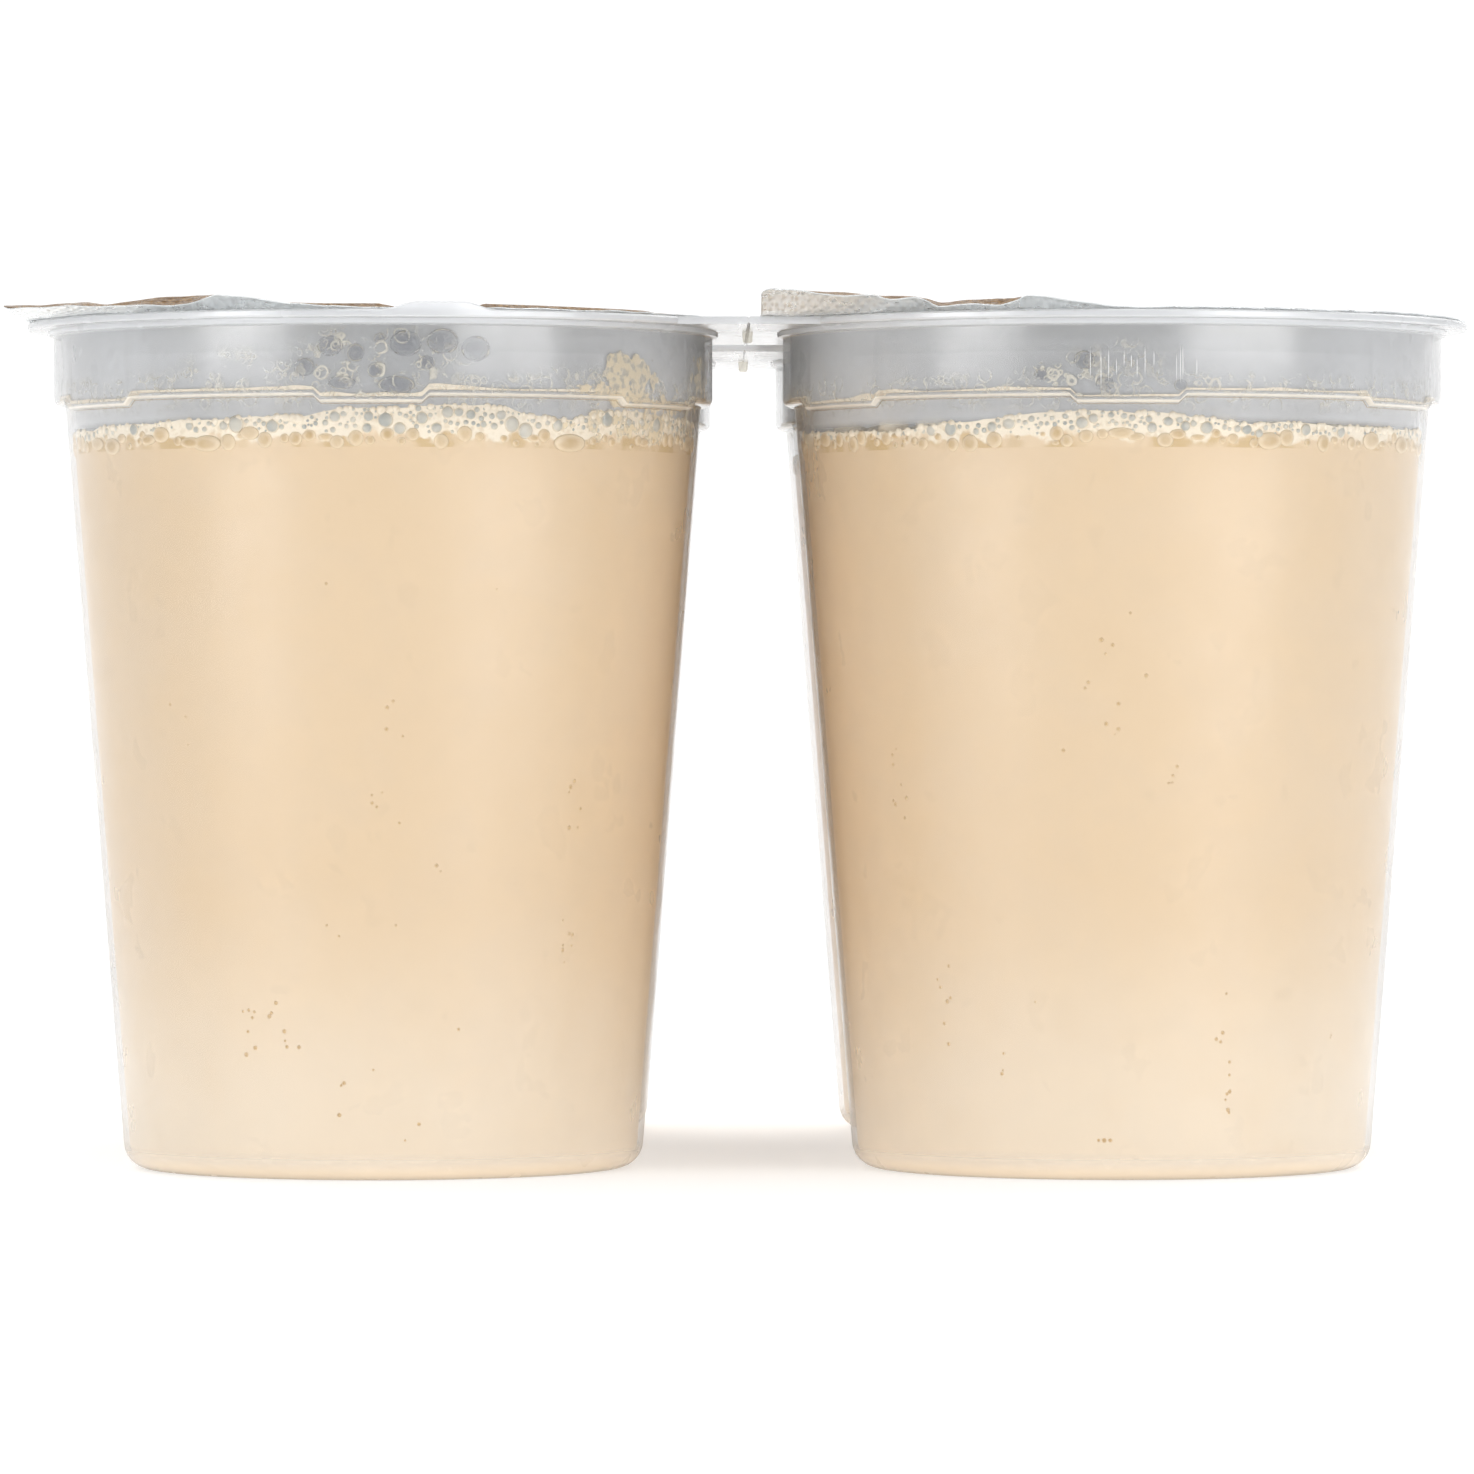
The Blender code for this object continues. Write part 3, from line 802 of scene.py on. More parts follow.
@dataclass
class Moulding:
    """The four cups, their flanges and the web between them, as one closed shell."""

    shape: CupShape = CUP
    rim_rounding: float = 0.15 * MM
    arch_turns: tuple[float, float] = (math.radians(-88.0), math.radians(-70.0))
    arch_rise: float = 0.67 * MM
    pin_radius: float = 0.5 * MM
    pin_drop: float = 0.9 * MM
    finish: CupPlastic = field(default_factory=CupPlastic)
    pin_finish: PinPlastic = field(default_factory=PinPlastic)

    def profile(self) -> list[Place]:
        """Draws one cup's section, from the middle of its underside over the rim to the middle of its floor.

        Returns:
            The section's (radius, height) points.
        """
        s = self.shape
        foot = (s.body_radius(s.foot_rounding) - s.foot_rounding, s.foot_rounding)
        ring_inner = foot[0] - s.foot_ring
        recess_edge = ring_inner - s.recess
        outer = [(0, s.recess), (recess_edge * 0.6, s.recess), (recess_edge, s.recess)]
        outer += [(ring_inner, 0.0)] + arc(foot, s.foot_rounding, -90, 0, 7)
        outer += [(s.body_radius(h * MM), h * MM) for h in (20, 40, 60)]
        tuck = 0.3 * MM
        outer += [(s.body_radius(s.ledge - tuck), s.ledge - tuck)]
        outer += [(s.body_radius(s.ledge) + 0.08 * MM, s.ledge - 0.06 * MM)]
        outer += arc((s.band_radius - s.band_rounding, s.ledge + s.band_rounding), s.band_rounding, -90, 0, 6)
        outer += [(s.band_radius, s.ledge + 3.0 * MM), (s.band_radius, s.band_top - 0.1 * MM)]
        outer += [(s.band_radius + 0.1 * MM, s.band_top), (s.neck_radius - 0.1 * MM, s.band_top + 0.1 * MM)]
        under = s.flange_top - s.flange_thickness
        outer += [(s.neck_radius, s.band_top + 0.25 * MM), (s.neck_radius, under - 0.05 * MM)]
        outer += [(s.neck_radius + 0.1 * MM, under)]
        r = self.rim_rounding
        rim = [(s.flange_radius - r, under), (s.flange_radius, under + r)]
        rim += [(s.flange_radius, s.flange_top - r), (s.flange_radius - r, s.flange_top)]
        rim += [(s.flange_radius - 0.35 * MM, s.flange_top), (s.flange_radius - 0.45 * MM, s.flange_top)]
        bead_top = s.flange_top + s.bead
        inner_band = s.band_radius - s.wall
        bead = [(s.neck_radius, s.flange_top), (s.neck_radius - 0.1 * MM, bead_top)]
        bead += [(inner_band + 0.15 * MM, bead_top), (inner_band, s.flange_top)]
        shelf = s.ledge + s.wall
        inner = [(inner_band, shelf + 0.25 * MM), (inner_band - 0.15 * MM, shelf)]
        inner += [(s.inner_radius(shelf), shelf)]
        inner += [(s.inner_radius(h * MM), h * MM) for h in (60, 40, 20)]
        inner += arc(foot, s.foot_rounding - s.wall, 0, -90, 5)
        floor = s.recess + s.wall
        inner += [(recess_edge, floor), (recess_edge * 0.5, floor), (0, floor)]
        return outer + rim + bead + inner

    def web_reach(self, turn: float) -> float:
        """Distance from the pot's axis to the edge of its share of the plate.

        Args:
            turn: angle about the axis, for the pot at the front left.

        Returns:
            The distance, which is the flange's radius where there is no web.
        """
        across, along = math.cos(turn), math.sin(turn)
        half = self.shape.pitch / 2
        parts = [part for part in (across, along) if abs(part) > 1e-6]
        reach = min((half if part > 0 else self.shape.web_half_width) / abs(part) for part in parts)
        if across > 0 and along > 0:
            inside = half - self.shape.hole_half_width
            reach = min(reach, max(inside / across, inside / along))
        if min(across, along) <= -0.9:
            return self.shape.flange_radius
        return max(self.shape.flange_radius, reach)

    def web_corners(self) -> list[Vector]:
        """Finds the corners of the plate's share, measured from the axis of the pot at the front left.

        Returns:
            The corners, anticlockwise from the front one.
        """
        half, edge = self.shape.pitch / 2, self.shape.web_half_width
        inside = half - self.shape.hole_half_width
        places = ((half, -edge), (half, inside), (inside, inside), (inside, half), (-edge, half))
        return [Vector(place) for place in places]

    def quarter(self, pot: Pot) -> bmesh.types.BMesh:
        """Makes one cup with its share of the plate, as at the front left, with its ledge stepped.

        Args:
            pot: whose cup it is.

        Returns:
            The bmesh, with its inner wall marked, and its ledge marked where a highlight line and a shadow
            line are painted.
        """
        s = self.shape
        bm = spun(self.profile(), s.steps)
        inner, ledge = bm.verts.layers.float.new(INNER), bm.verts.layers.float.new(LEDGE_HIGHLIGHT_AND_SHADOW)
        rim_from = s.flange_radius - self.rim_rounding - 0.01 * MM
        for vert in bm.verts:
            radius = math.hypot(vert.co.x, vert.co.y)
            turn = math.atan2(vert.co.y, vert.co.x)
            outside = s.band_radius if vert.co.z > s.ledge + s.wall - 0.1 * MM else s.body_radius(vert.co.z)
            vert[inner] = float(radius < outside - s.wall / 2 and vert.co.z > s.foot_rounding)
            outer_ledge = s.ledge - 0.35 * MM < vert.co.z < s.ledge + s.band_rounding + 0.01 * MM
            inner_shelf = abs(vert.co.z - s.ledge - s.wall) < 0.3 * MM
            inner_shelf = inner_shelf and radius < s.band_radius - s.wall + 0.01 * MM
            outer_ledge = outer_ledge and radius > s.inner_radius(s.ledge) + 0.3 * MM
            # Marks the bottom of the ledge's rounding for a painted highlight, and the tuck below it, as -1,
            # for a painted shadow line.
            if outer_ledge and vert.co.z > s.ledge - 0.2 * MM:
                lit = smoothstep(0.4 * MM, 0.1 * MM, vert.co.z - s.ledge)
                vert[ledge] = lit if vert.co.z > s.ledge - 0.01 * MM else -1.0
            if outer_ledge or inner_shelf:
                vert.co.z -= s.lug_drop * s.lug(turn)
            if radius > rim_from:
                self.stretch_rim(vert, radius, turn)
            at_edge = vert.co.z > s.flange_top - 0.2 * MM and radius > s.flange_radius - 0.4 * MM
            if pot is Pot.FRONT_LEFT and at_edge:
                share = (turn - self.arch_turns[0]) / (self.arch_turns[1] - self.arch_turns[0])
                if 0 < share < 1:
                    vert.co.z += self.arch_rise * smoothstep(0, 0.3, share) * smoothstep(1, 0.7, share)
        return bm

    def stretch_rim(self, vert: bmesh.types.BMVert, radius: float, turn: float) -> None:
        """Moves a vertex of the rim out to the edge of the plate, and onto a corner if it is the nearest.

        Args:
            vert: the vertex.
            radius: its distance from the axis.
            turn: its angle about the axis.
        """
        reach = self.web_reach(turn)
        if reach <= self.shape.flange_radius:
            return
        inset = self.shape.flange_radius - radius
        target = Vector((math.cos(turn), math.sin(turn))) * reach
        half_step = math.pi / self.shape.steps
        for corner in self.web_corners():
            if abs(math.atan2(corner.y, corner.x) - turn) <= half_step:
                target = corner
        target = target * (1 - inset / target.length)
        vert.co.x, vert.co.y = target

    def pins(self, bm: bmesh.types.BMesh) -> None:
        """Adds the short pins under the web, midway between neighbouring pots.

        Args:
            bm: the whole moulding.
        """
        top = self.shape.flange_top - self.shape.flange_thickness / 2
        bottom = self.shape.flange_top - self.shape.flange_thickness - self.pin_drop
        for i in range(4):
            turn = i * math.pi / 2
            half = self.shape.pitch / 2
            place = Matrix.Translation((half * math.cos(turn), half * math.sin(turn), (top + bottom) / 2))
            made = bmesh.ops.create_cone(
                bm,
                cap_ends=True,
                segments=20,
                radius1=self.pin_radius * 0.8,
                radius2=self.pin_radius,
                depth=top - bottom,
                matrix=place,
            )
            edges = {edge for vert in made["verts"] for edge in vert.link_edges}
            low = [edge for edge in edges if all(vert.co.z < bottom + 0.01 * MM for vert in edge.verts)]
            for face in {face for vert in made["verts"] for face in vert.link_faces}:
                face.material_index = 1
            bmesh.ops.bevel(
                bm,
                geom=low,
                offset=0.15 * MM,
                segments=2,
                profile=0.5,
                affect="EDGES",
                material=-1,
            )

    def build(self) -> bpy.types.Object:
        """Builds the moulding as one piece.

        Returns:
            The piece.
        """
        whole = bmesh.new()
        for pot in Pot:
            bm = self.quarter(pot)
            bmesh.ops.translate(bm, verts=bm.verts, vec=Pot.FRONT_LEFT.centre)
            flip_x, flip_y = -pot.value[0], -pot.value[1]
            bmesh.ops.scale(bm, verts=bm.verts, vec=(flip_x, flip_y, 1))
            if flip_x * flip_y < 0:
                bmesh.ops.reverse_faces(bm, faces=bm.faces)
            part = bpy.data.meshes.new("quarter")
            bm.to_mesh(part)
            bm.free()
            whole.from_mesh(part)
            bpy.data.meshes.remove(part)
        near = 0.02 * MM
        for vert in whole.verts:
            for axis in (0, 1):
                if abs(vert.co[axis]) < near:
                    vert.co[axis] = 0.0
        inside = [f for f in whole.faces if any(all(v.co[a] == 0.0 for v in f.verts) for a in (0, 1))]
        bmesh.ops.delete(whole, geom=inside, context="FACES")
        bmesh.ops.remove_doubles(whole, verts=whole.verts, dist=0.002 * MM)
        self.pins(whole)
        materials = [self.finish.material(), self.pin_finish.material()]
        piece = finish_piece("moulded_cups", whole, materials, 35.0)
        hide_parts("cup_block")
        return piece


@dataclass(frozen=True)
class Patch:
    """A soft-edged oval on the wall: its turn from the front, height, half sizes and strength."""

    turn: float
    height: float
    half_turn: float
    half_height: float
    strength: float = 1.0

    def at(self, turn: float, height: float) -> float:
        """How strong the patch is at a place on the wall.

        Args:
            turn: the turn from the front, in degrees.
            height: the height, in millimetres.

        Returns:
            The strength, 0 outside the oval.
        """
        off = (turn - self.turn + 180) % 360 - 180
        away = math.hypot(off / self.half_turn, (height - self.height) / self.half_height)
        return self.strength * smoothstep(1.25, 0.6, away)


@dataclass(frozen=True)
class Burst:
    """A large burst bubble on the bare wall: turn in degrees, height and half sizes in millimetres."""

    turn: float
    height: float
    half_width: float
    half_height: float


@dataclass(frozen=True)
class Specks:
    """A few tiny bubbles close together on the wall: turn in degrees, height in millimetres, and how many."""

    turn: float
    height: float
    count: int = 1
    spread_turn: float = 1.5
    spread_height: float = 1.5


@dataclass(frozen=True)
class Traces:
    """How one pot's foam stood and what it left on its wall, by turn from the front in degrees."""

    foam_top: Course
    net: tuple[Patch, ...]
    splash: tuple[Patch, ...] = ()
    bursts: tuple[Burst, ...] = ()
    specks: tuple[Specks, ...] = ()
    scratched: bool = False


ALL_ROUND = Patch(0.0, 67.4, 400.0, 1.5, 0.55)
LEFT_TRACES = Traces(
    foam_top=Course(
        (
            (-180, 64.6), (-90, 64.2), (-40, 64.8), (-13, 65.2), (-6, 65.8), (5, 66.0), (25, 65.95),
            (29, 65.3), (38, 64.85), (45, 65.7), (54, 65.9), (90, 65.0), (180, 64.6),
        )
    ),
    net=(ALL_ROUND, Patch(1, 69.6, 15, 3.2), Patch(-24, 68.6, 13, 2.2, 0.6), Patch(38, 68.0, 12, 1.6, 0.6)),
    splash=(
        Patch(50, 68.6, 7.5, 2.4, 1.05),
        Patch(45, 67.6, 9, 0.9, 0.95),
        Patch(64, 66.2, 14, 1.8, 0.7),
        Patch(80, 68.4, 10, 3.0, 0.6),
        Patch(60, 64.6, 24, 1.2, 0.7),
    ),
    bursts=(
        Burst(5.9, 71.2, 1.4, 1.1), Burst(12.3, 71.4, 1.4, 1.1), Burst(-2.6, 70.4, 0.75, 0.75),
        Burst(4.3, 67.7, 1.6, 0.75), Burst(0.7, 68.9, 0.65, 0.6), Burst(-7.0, 71.0, 1.1, 0.9),
        Burst(18.0, 70.8, 1.3, 1.1), Burst(-11.5, 69.2, 0.9, 0.8), Burst(1.5, 71.6, 0.5, 0.45),
        Burst(9.5, 69.6, 0.7, 0.6), Burst(-5.0, 67.9, 1.2, 0.6),
    ),
    specks=(
        Specks(3, 39.5, 3), Specks(4.5, 37.1), Specks(1.3, 33.3, 4), Specks(4.6, 31.6), Specks(14.3, 27.8, 2),
        Specks(-8.2, 21.8, 2), Specks(4.2, 21.7), Specks(44, 20, 7, 2, 3), Specks(44, 31, 6, 4, 4),
        Specks(-23, 12.9, 14, 8, 2.5), Specks(19.4, 11.9), Specks(1.4, 10.5), Specks(-8.5, 51.5),
        Specks(24.4, 49.5), Specks(-45, 36, 3, 6, 5), Specks(-7, 7, 3, 1, 2), Specks(10, 4, 2, 6, 1),
        Specks(150, 30, 20, 60, 20), Specks(-140, 24, 18, 50, 18),
    ),
)
RIGHT_TRACES = Traces(
    foam_top=Course(
        (
            (-180, 64.6), (-85, 64.3), (-50, 64.1), (-30, 64.75), (-20, 65.3), (-10, 65.5), (8, 65.45),
            (14, 65.1), (22, 64.5), (40, 64.55), (90, 64.4), (180, 64.6),
        )
    ),
    net=(
        ALL_ROUND, Patch(-13, 68.4, 11, 1.8, 0.9), Patch(19, 67.8, 9, 1.4, 0.8), Patch(-2, 69.6, 9, 2.0, 0.5),
    ),
    splash=(Patch(-82, 67.0, 8, 1.5, 0.5),),
    bursts=(
        Burst(-7.5, 69.8, 0.9, 0.8), Burst(-4.0, 67.8, 0.8, 0.6), Burst(9.0, 67.7, 0.6, 0.5),
        Burst(-15, 68.6, 0.6, 0.5),
    ),
    specks=(
        Specks(-0.5, 48.4), Specks(-3.4, 44.9, 3), Specks(3.2, 44.0), Specks(-6.8, 42.7, 2),
        Specks(-2.9, 39.4, 4), Specks(-13, 36.7), Specks(9, 34.3, 4), Specks(-17.6, 16.2), Specks(22.4, 16.3),
        Specks(23, 8.5, 7, 0.6, 3), Specks(-50, 32.6, 8, 3, 5), Specks(-27, 10.1, 3, 0.6, 1.2),
        Specks(-5, 3.4, 3, 2, 0.6), Specks(-42, 16, 8, 3, 5), Specks(50, 11, 2, 4, 2), Specks(20, 11.5, 3),
        Specks(160, 34, 22, 60, 20), Specks(-150, 20, 16, 50, 14),
    ),
    scratched=True,
)
TRACES = {
    Pot.FRONT_LEFT: LEFT_TRACES,
    Pot.FRONT_RIGHT: RIGHT_TRACES,
    Pot.BACK_LEFT: replace(RIGHT_TRACES, scratched=False),
    Pot.BACK_RIGHT: LEFT_TRACES,
}


@dataclass
class Contents:
    """What is in one pot: the dessert, its foam and bubbles, and what has dried on the wall above."""

    pot: Pot
    shape: CupShape = CUP
    into_wall: float = 0.12 * MM
    film_depth: float = 0.22 * MM
    fill_level: float = 62.6 * MM
    foam_middle: float = 64.5 * MM
    sides: int = 144
    top_bubbles: int = 170
    edge_bubbles: int = 260
    clear_bubbles: int = 1000
    tan_bubbles: int = 360

    @property
    def traces(self) -> Traces:
        """This pot's foam edge and wall marks."""
        return TRACES[self.pot]

    def heading(self, vert: bmesh.types.BMVert) -> float:
        """A vertex's turn about the pot's axis in degrees, from this pot's own front towards the right."""
        return math.degrees(math.atan2(vert.co.x, -vert.co.y))

    def wall_place(self, turn: float, height: float) -> Vector:
        """The point on the inside of the wall at a turn in radians and a height."""
        radius = self.shape.inner_radius(height) + self.into_wall
        return self.pot.centre + Vector((radius * math.sin(turn), -radius * math.cos(turn), height))

    def foam_top(self, turn: float) -> float:
        """How high the foam's edge stands on the wall.

        Args:
            turn: the turn from the front, in radians.

        Returns:
            The height, in metres.
        """
        across, along = self.pot.value
        ring = Vector((math.sin(turn) * 6.5, math.cos(turn) * 6.5, across + 3.0 * along))
        ripple = noise.noise(ring) * 0.25 + noise.noise(ring * 4.0) * 0.16
        degrees = (math.degrees(turn) + 180) % 360 - 180
        return (self.traces.foam_top.at(degrees) + ripple) * MM

    def put_in(
        self,
        word: str,
        bm: bmesh.types.BMesh,
        materials: Sequence[bpy.types.Material],
        smooth: float | None = 40.0,
    ) -> bpy.types.Object:
        """Moves a finished bmesh into this pot and makes it a piece named after the pot.

        Args:
            word: the first part of its name.
            bm: the bmesh, made about the origin.
            materials: its materials, in slot order.
            smooth: angle in degrees past which an edge stays sharp, or None.

        Returns:
            The piece.
        """
        bmesh.ops.translate(bm, verts=bm.verts, vec=self.pot.centre)
        return finish_piece(f"{word}_{self.pot.word}", bm, materials, smooth)

    def filling(self, dessert: bpy.types.Material) -> bpy.types.Object:
        """Builds the dessert, which reaches just into the wall all round.

        Args:
            dessert: its material.

        Returns:
            The piece.
        """
        s = self.shape
        foot = (s.body_radius(s.foot_rounding) - s.foot_rounding, s.foot_rounding)
        floor = s.recess + s.wall - self.into_wall
        profile = [(0, self.fill_level), (s.inner_radius(self.fill_level) + self.into_wall, self.fill_level)]
        profile += [(s.inner_radius(h * MM) + self.into_wall, h * MM) for h in (45, 25)]
        profile += arc(foot, s.foot_rounding - s.wall + self.into_wall, 0, -60, 5)
        profile += [(foot[0] - s.foot_ring - s.recess, floor), (0, floor)]
        bm = spun(profile, self.sides)
        piece = self.put_in("dessert", bm, [dessert])
        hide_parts(f"filling_{self.pot.word}")
        return piece

    def foam(self, materials: Sequence[bpy.types.Material]) -> bpy.types.Object:
        """Builds the foam: a layer with a ragged rim, set with bubbles large and small.

        Args:
            materials: its materials.

        Returns:
            The piece.
        """
        level = self.fill_level - 0.1 * MM
        reach = self.shape.inner_radius(level) + self.into_wall
        middle = self.foam_middle
        profile = [(0, middle)] + [(reach * share, middle) for share in (0.3, 0.55, 0.75, 0.88, 0.95)]
        profile += [(reach, middle), (reach, (level + middle) / 2), (reach, level), (0, level)]
        bm = spun(profile, self.sides * 2)
        seed = Vector((self.pot.value[0], self.pot.value[1], 0)) * 5
        for vert in bm.verts:
            radius = math.hypot(vert.co.x, vert.co.y)
            if vert.co.z > middle - 0.1 * MM:
                edge = smoothstep(0.75, 1.0, radius / reach)
                rise = self.foam_top(math.radians(self.heading(vert))) - middle
                vert.co.z += rise * edge + 0.5 * MM * noise.noise(vert.co * 260.0 + seed) * (1 - edge)
            if radius > reach - 0.01 * MM:
                wider = (self.shape.inner_radius(vert.co.z) + self.into_wall) / radius
                vert.co.x, vert.co.y = vert.co.x * wider, vert.co.y * wider
        rng = random.Random(f"foam {self.pot.word}")
        blob = Ball(10, 6, 0)
        for _ in range(self.top_bubbles):
            distance, turn = reach * math.sqrt(rng.uniform(0.02, 0.86)), rng.uniform(0, 2 * math.pi)
            radius = rng.uniform(0.4, 1.4) * MM
            place = Vector((distance * math.sin(turn), -distance * math.cos(turn), middle + 0.1 * MM))
            blob.add(bm, Matrix.Translation(place) @ Matrix.Diagonal((radius, radius, radius * 0.7, 1)))
        for _ in range(self.edge_bubbles):
            turn, radius = rng.uniform(-math.pi, math.pi), rng.uniform(0.12, 0.42) * MM
            place = self.wall_place(turn, self.foam_top(turn) - 0.35 * radius) - self.pot.centre
            self.spot(bm, blob, place, turn, Vector((radius, radius * 0.4, radius)), 0.0)
        piece = self.put_in("foam_top", bm, materials)
        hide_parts(f"foam_{self.pot.word}")
        return piece

    def spot(
        self, bm: bmesh.types.BMesh, ball: Ball, place: Vector, turn: float, size: Vector, lean: float
    ) -> None:
        """Adds one bubble that lies flat against the wall.

        Args:
            bm: the bmesh that gets it.
            ball: the ball it is made from.
            place: its middle.
            turn: which way it faces, in radians from the front.
            size: half its width, depth and height.
            lean: how far its wall leans back, in radians.
        """
        facing = Matrix.Rotation(turn, 4, "Z") @ Matrix.Rotation(lean, 4, "X")
        ball.add(bm, Matrix.Translation(place) @ facing @ Matrix.Diagonal((*size, 1)))

    def bubbles(self, materials: Sequence[bpy.types.Material]) -> bpy.types.Object:
        """Builds the bubbles at the wall: clear ones in the foam, tan ones under them, specks below.

        Args:
            materials: the tan, the clear (with its painted shade) and the speck's material.

        Returns:
            The piece.
        """
        rng = random.Random(f"bubbles {self.pot.word}")
        bm = bmesh.new()
        clear, tan, speck = Ball(12, 4, 1), Ball(14, 6, 0), Ball(8, 4, 2)
        lean = math.atan(self.shape.flare)
        taken: list[tuple[Vector, float]] = []

        def settled(ball: Ball, turn: float, height: float, radius: float, wide: float = 1.0) -> None:
            """Adds a bubble if it keeps clear of those already there.

            Args:
                ball: the ball it is made from.
                turn: its turn from the front, in radians.
                height: its height.
                radius: half its size.
                wide: its width, as a share of its size.
            """
            place = self.wall_place(turn, height)
            if any((place - other).length < (radius + size) * 0.92 for other, size in taken):
                return
            taken.append((place, radius))
            size = Vector((radius * wide, min(radius * 0.45, 0.2 * MM), radius * rng.uniform(0.85, 1.05)))
            self.spot(bm, ball, place, turn, size, lean)

        for _ in range(self.tan_bubbles):
            turn, radius = rng.uniform(-math.pi, math.pi), rng.uniform(0.22, 0.8) * MM
            wide = rng.uniform(1.4, 2.4) if rng.random() < 0.2 else 1.0
            settled(tan, turn, self.fill_level + rng.uniform(0.2, 1.2) * MM, radius, wide)
        for step in range(self.clear_bubbles):
            turn = rng.gauss(0.12, 0.3) if rng.random() < 0.4 else rng.uniform(-math.pi, math.pi)
            biggest = 0.8 if step < self.clear_bubbles / 5 else 0.32
            radius = rng.uniform(0.12, biggest) * MM
            low, high = self.fill_level + 1.0 * MM, self.foam_top(turn) - 0.75 * radius
            if high > low:
                settled(clear, turn, low + (high - low) * math.sqrt(rng.random()), radius)
        for group in self.traces.specks:
            for _ in range(group.count):
                turn = math.radians(group.turn + rng.uniform(-1, 1) * group.spread_turn)
                height = max(3.5, group.height + rng.uniform(-1, 1) * group.spread_height) * MM
                radius = rng.uniform(0.10, 0.22) * MM
                place = self.wall_place(turn, height)
                self.spot(bm, speck, place, turn, Vector((radius, radius * 0.4, radius)), lean)
        return finish_piece(f"wall_bubbles_{self.pot.word}", bm, materials, None)

    def ledge_cream(self, material: bpy.types.Material) -> bpy.types.Object:
        """Builds the line of dried foam on the shelf inside the ledge, which follows the ledge's steps.

        Args:
            material: its material.

        Returns:
            The piece.
        """
        s = self.shape
        shelf = s.ledge + s.wall - self.into_wall
        inner, outer = s.inner_radius(shelf) + 0.1 * MM, s.band_radius - s.wall + self.into_wall
        section = [(outer, shelf), (outer, shelf + 0.16 * MM), (outer - 0.3 * MM, shelf + 0.14 * MM)]
        section += [(inner, shelf + 0.1 * MM), (inner, shelf)]
        bm = spun(section, s.steps, closed=True)
        seed = Vector((self.pot.value[0], 0, self.pot.value[1]))
        for vert in bm.verts:
            if vert.co.z > shelf + 0.05 * MM:
                ragged = noise.noise(Vector((vert.co.x, vert.co.y, 0)) * 420.0 + seed)
                clump = noise.noise(Vector((vert.co.x, vert.co.y, 0)) * 90.0 - seed)
                vert.co.z += 0.9 * MM * max(-0.12, clump) * (0.6 + ragged)
            vert.co.z -= s.lug_drop * s.lug(math.atan2(vert.co.y, vert.co.x))
        return self.put_in("ledge_cream", bm, [material])

    def film(self, materials: Sequence[bpy.types.Material]) -> bpy.types.Object:
        """Builds the film dried on the bare wall, with burst bubbles and, on one pot, fine scratches.

        Args:
            materials: the film's, the burst bubble's and the scratch's material.

        Returns:
            The piece.
        """
        s = self.shape
        shelf, band = s.ledge + s.wall - self.film_depth, s.band_radius - s.wall + self.film_depth
        heights = [h * MM for h in (62.9, 63.7, 64.5, 65.3, 66.1, 66.8)]
        cone = [(s.inner_radius(height) + self.film_depth, height) for height in heights]
        wall = [(band, h * MM) for h in (67.8, 68.4, 69.0, 69.6, 70.2, 70.8, 71.4, 72.0, 72.7)]
        outer = cone + [(s.inner_radius(shelf) + self.film_depth, shelf), (band, shelf)] + wall
        bm = spun(outer, s.steps)
        if sum(face.normal.xy.dot(face.calc_center_median().xy) for face in bm.faces) < 0:
            bmesh.ops.reverse_faces(bm, faces=bm.faces)
        net, splash = bm.verts.layers.float.new(NET), bm.verts.layers.float.new(SPLASH)
        for vert in bm.verts:
            turn, height = self.heading(vert), vert.co.z / MM
            vert[net] = max(patch.at(turn, height) for patch in self.traces.net)
            vert[splash] = max((patch.at(turn, height) for patch in self.traces.splash), default=0.0)
            if abs(vert.co.z - shelf) < 0.5 * MM:
                vert.co.z -= s.lug_drop * s.lug(math.atan2(vert.co.y, vert.co.x))
        window = Ball(20, 6, 1)
        for burst in self.traces.bursts:
            turn = math.radians(burst.turn)
            place = Vector((band * math.sin(turn), -band * math.cos(turn), burst.height * MM))
            size = Vector((burst.half_width, 0.06, burst.half_height)) * MM
            self.spot(bm, window, place, turn, size, 0.0)
        if self.traces.scratched:
            self.scratch(bm)
        return self.put_in("wall_film", bm, materials, None)

    def scratch(self, bm: bmesh.types.BMesh) -> None:
        """Adds the fine upright scratches in the band's outer face.

        Args:
            bm: the bmesh that gets them.
        """
        rng = random.Random("scratches")
        mark = Ball(6, 4, 2)
        for turn in (-6.4, -4.6, -3.3, -1.9, -0.6, 0.3, 1.2, 2.6, 4.3, 7.9, 8.6, 9.2, 11.5):
            radians = math.radians(turn + rng.uniform(-0.2, 0.2))
            radius = self.shape.band_radius - 0.01 * MM
            half = rng.uniform(0.5, 1.9)
            height = (69.6 + rng.uniform(-0.6, 0.6)) * MM
            place = Vector((radius * math.sin(radians), -radius * math.cos(radians), height))
            self.spot(bm, mark, place, radians, Vector((0.035, 0.02, half)) * MM, 0.0)


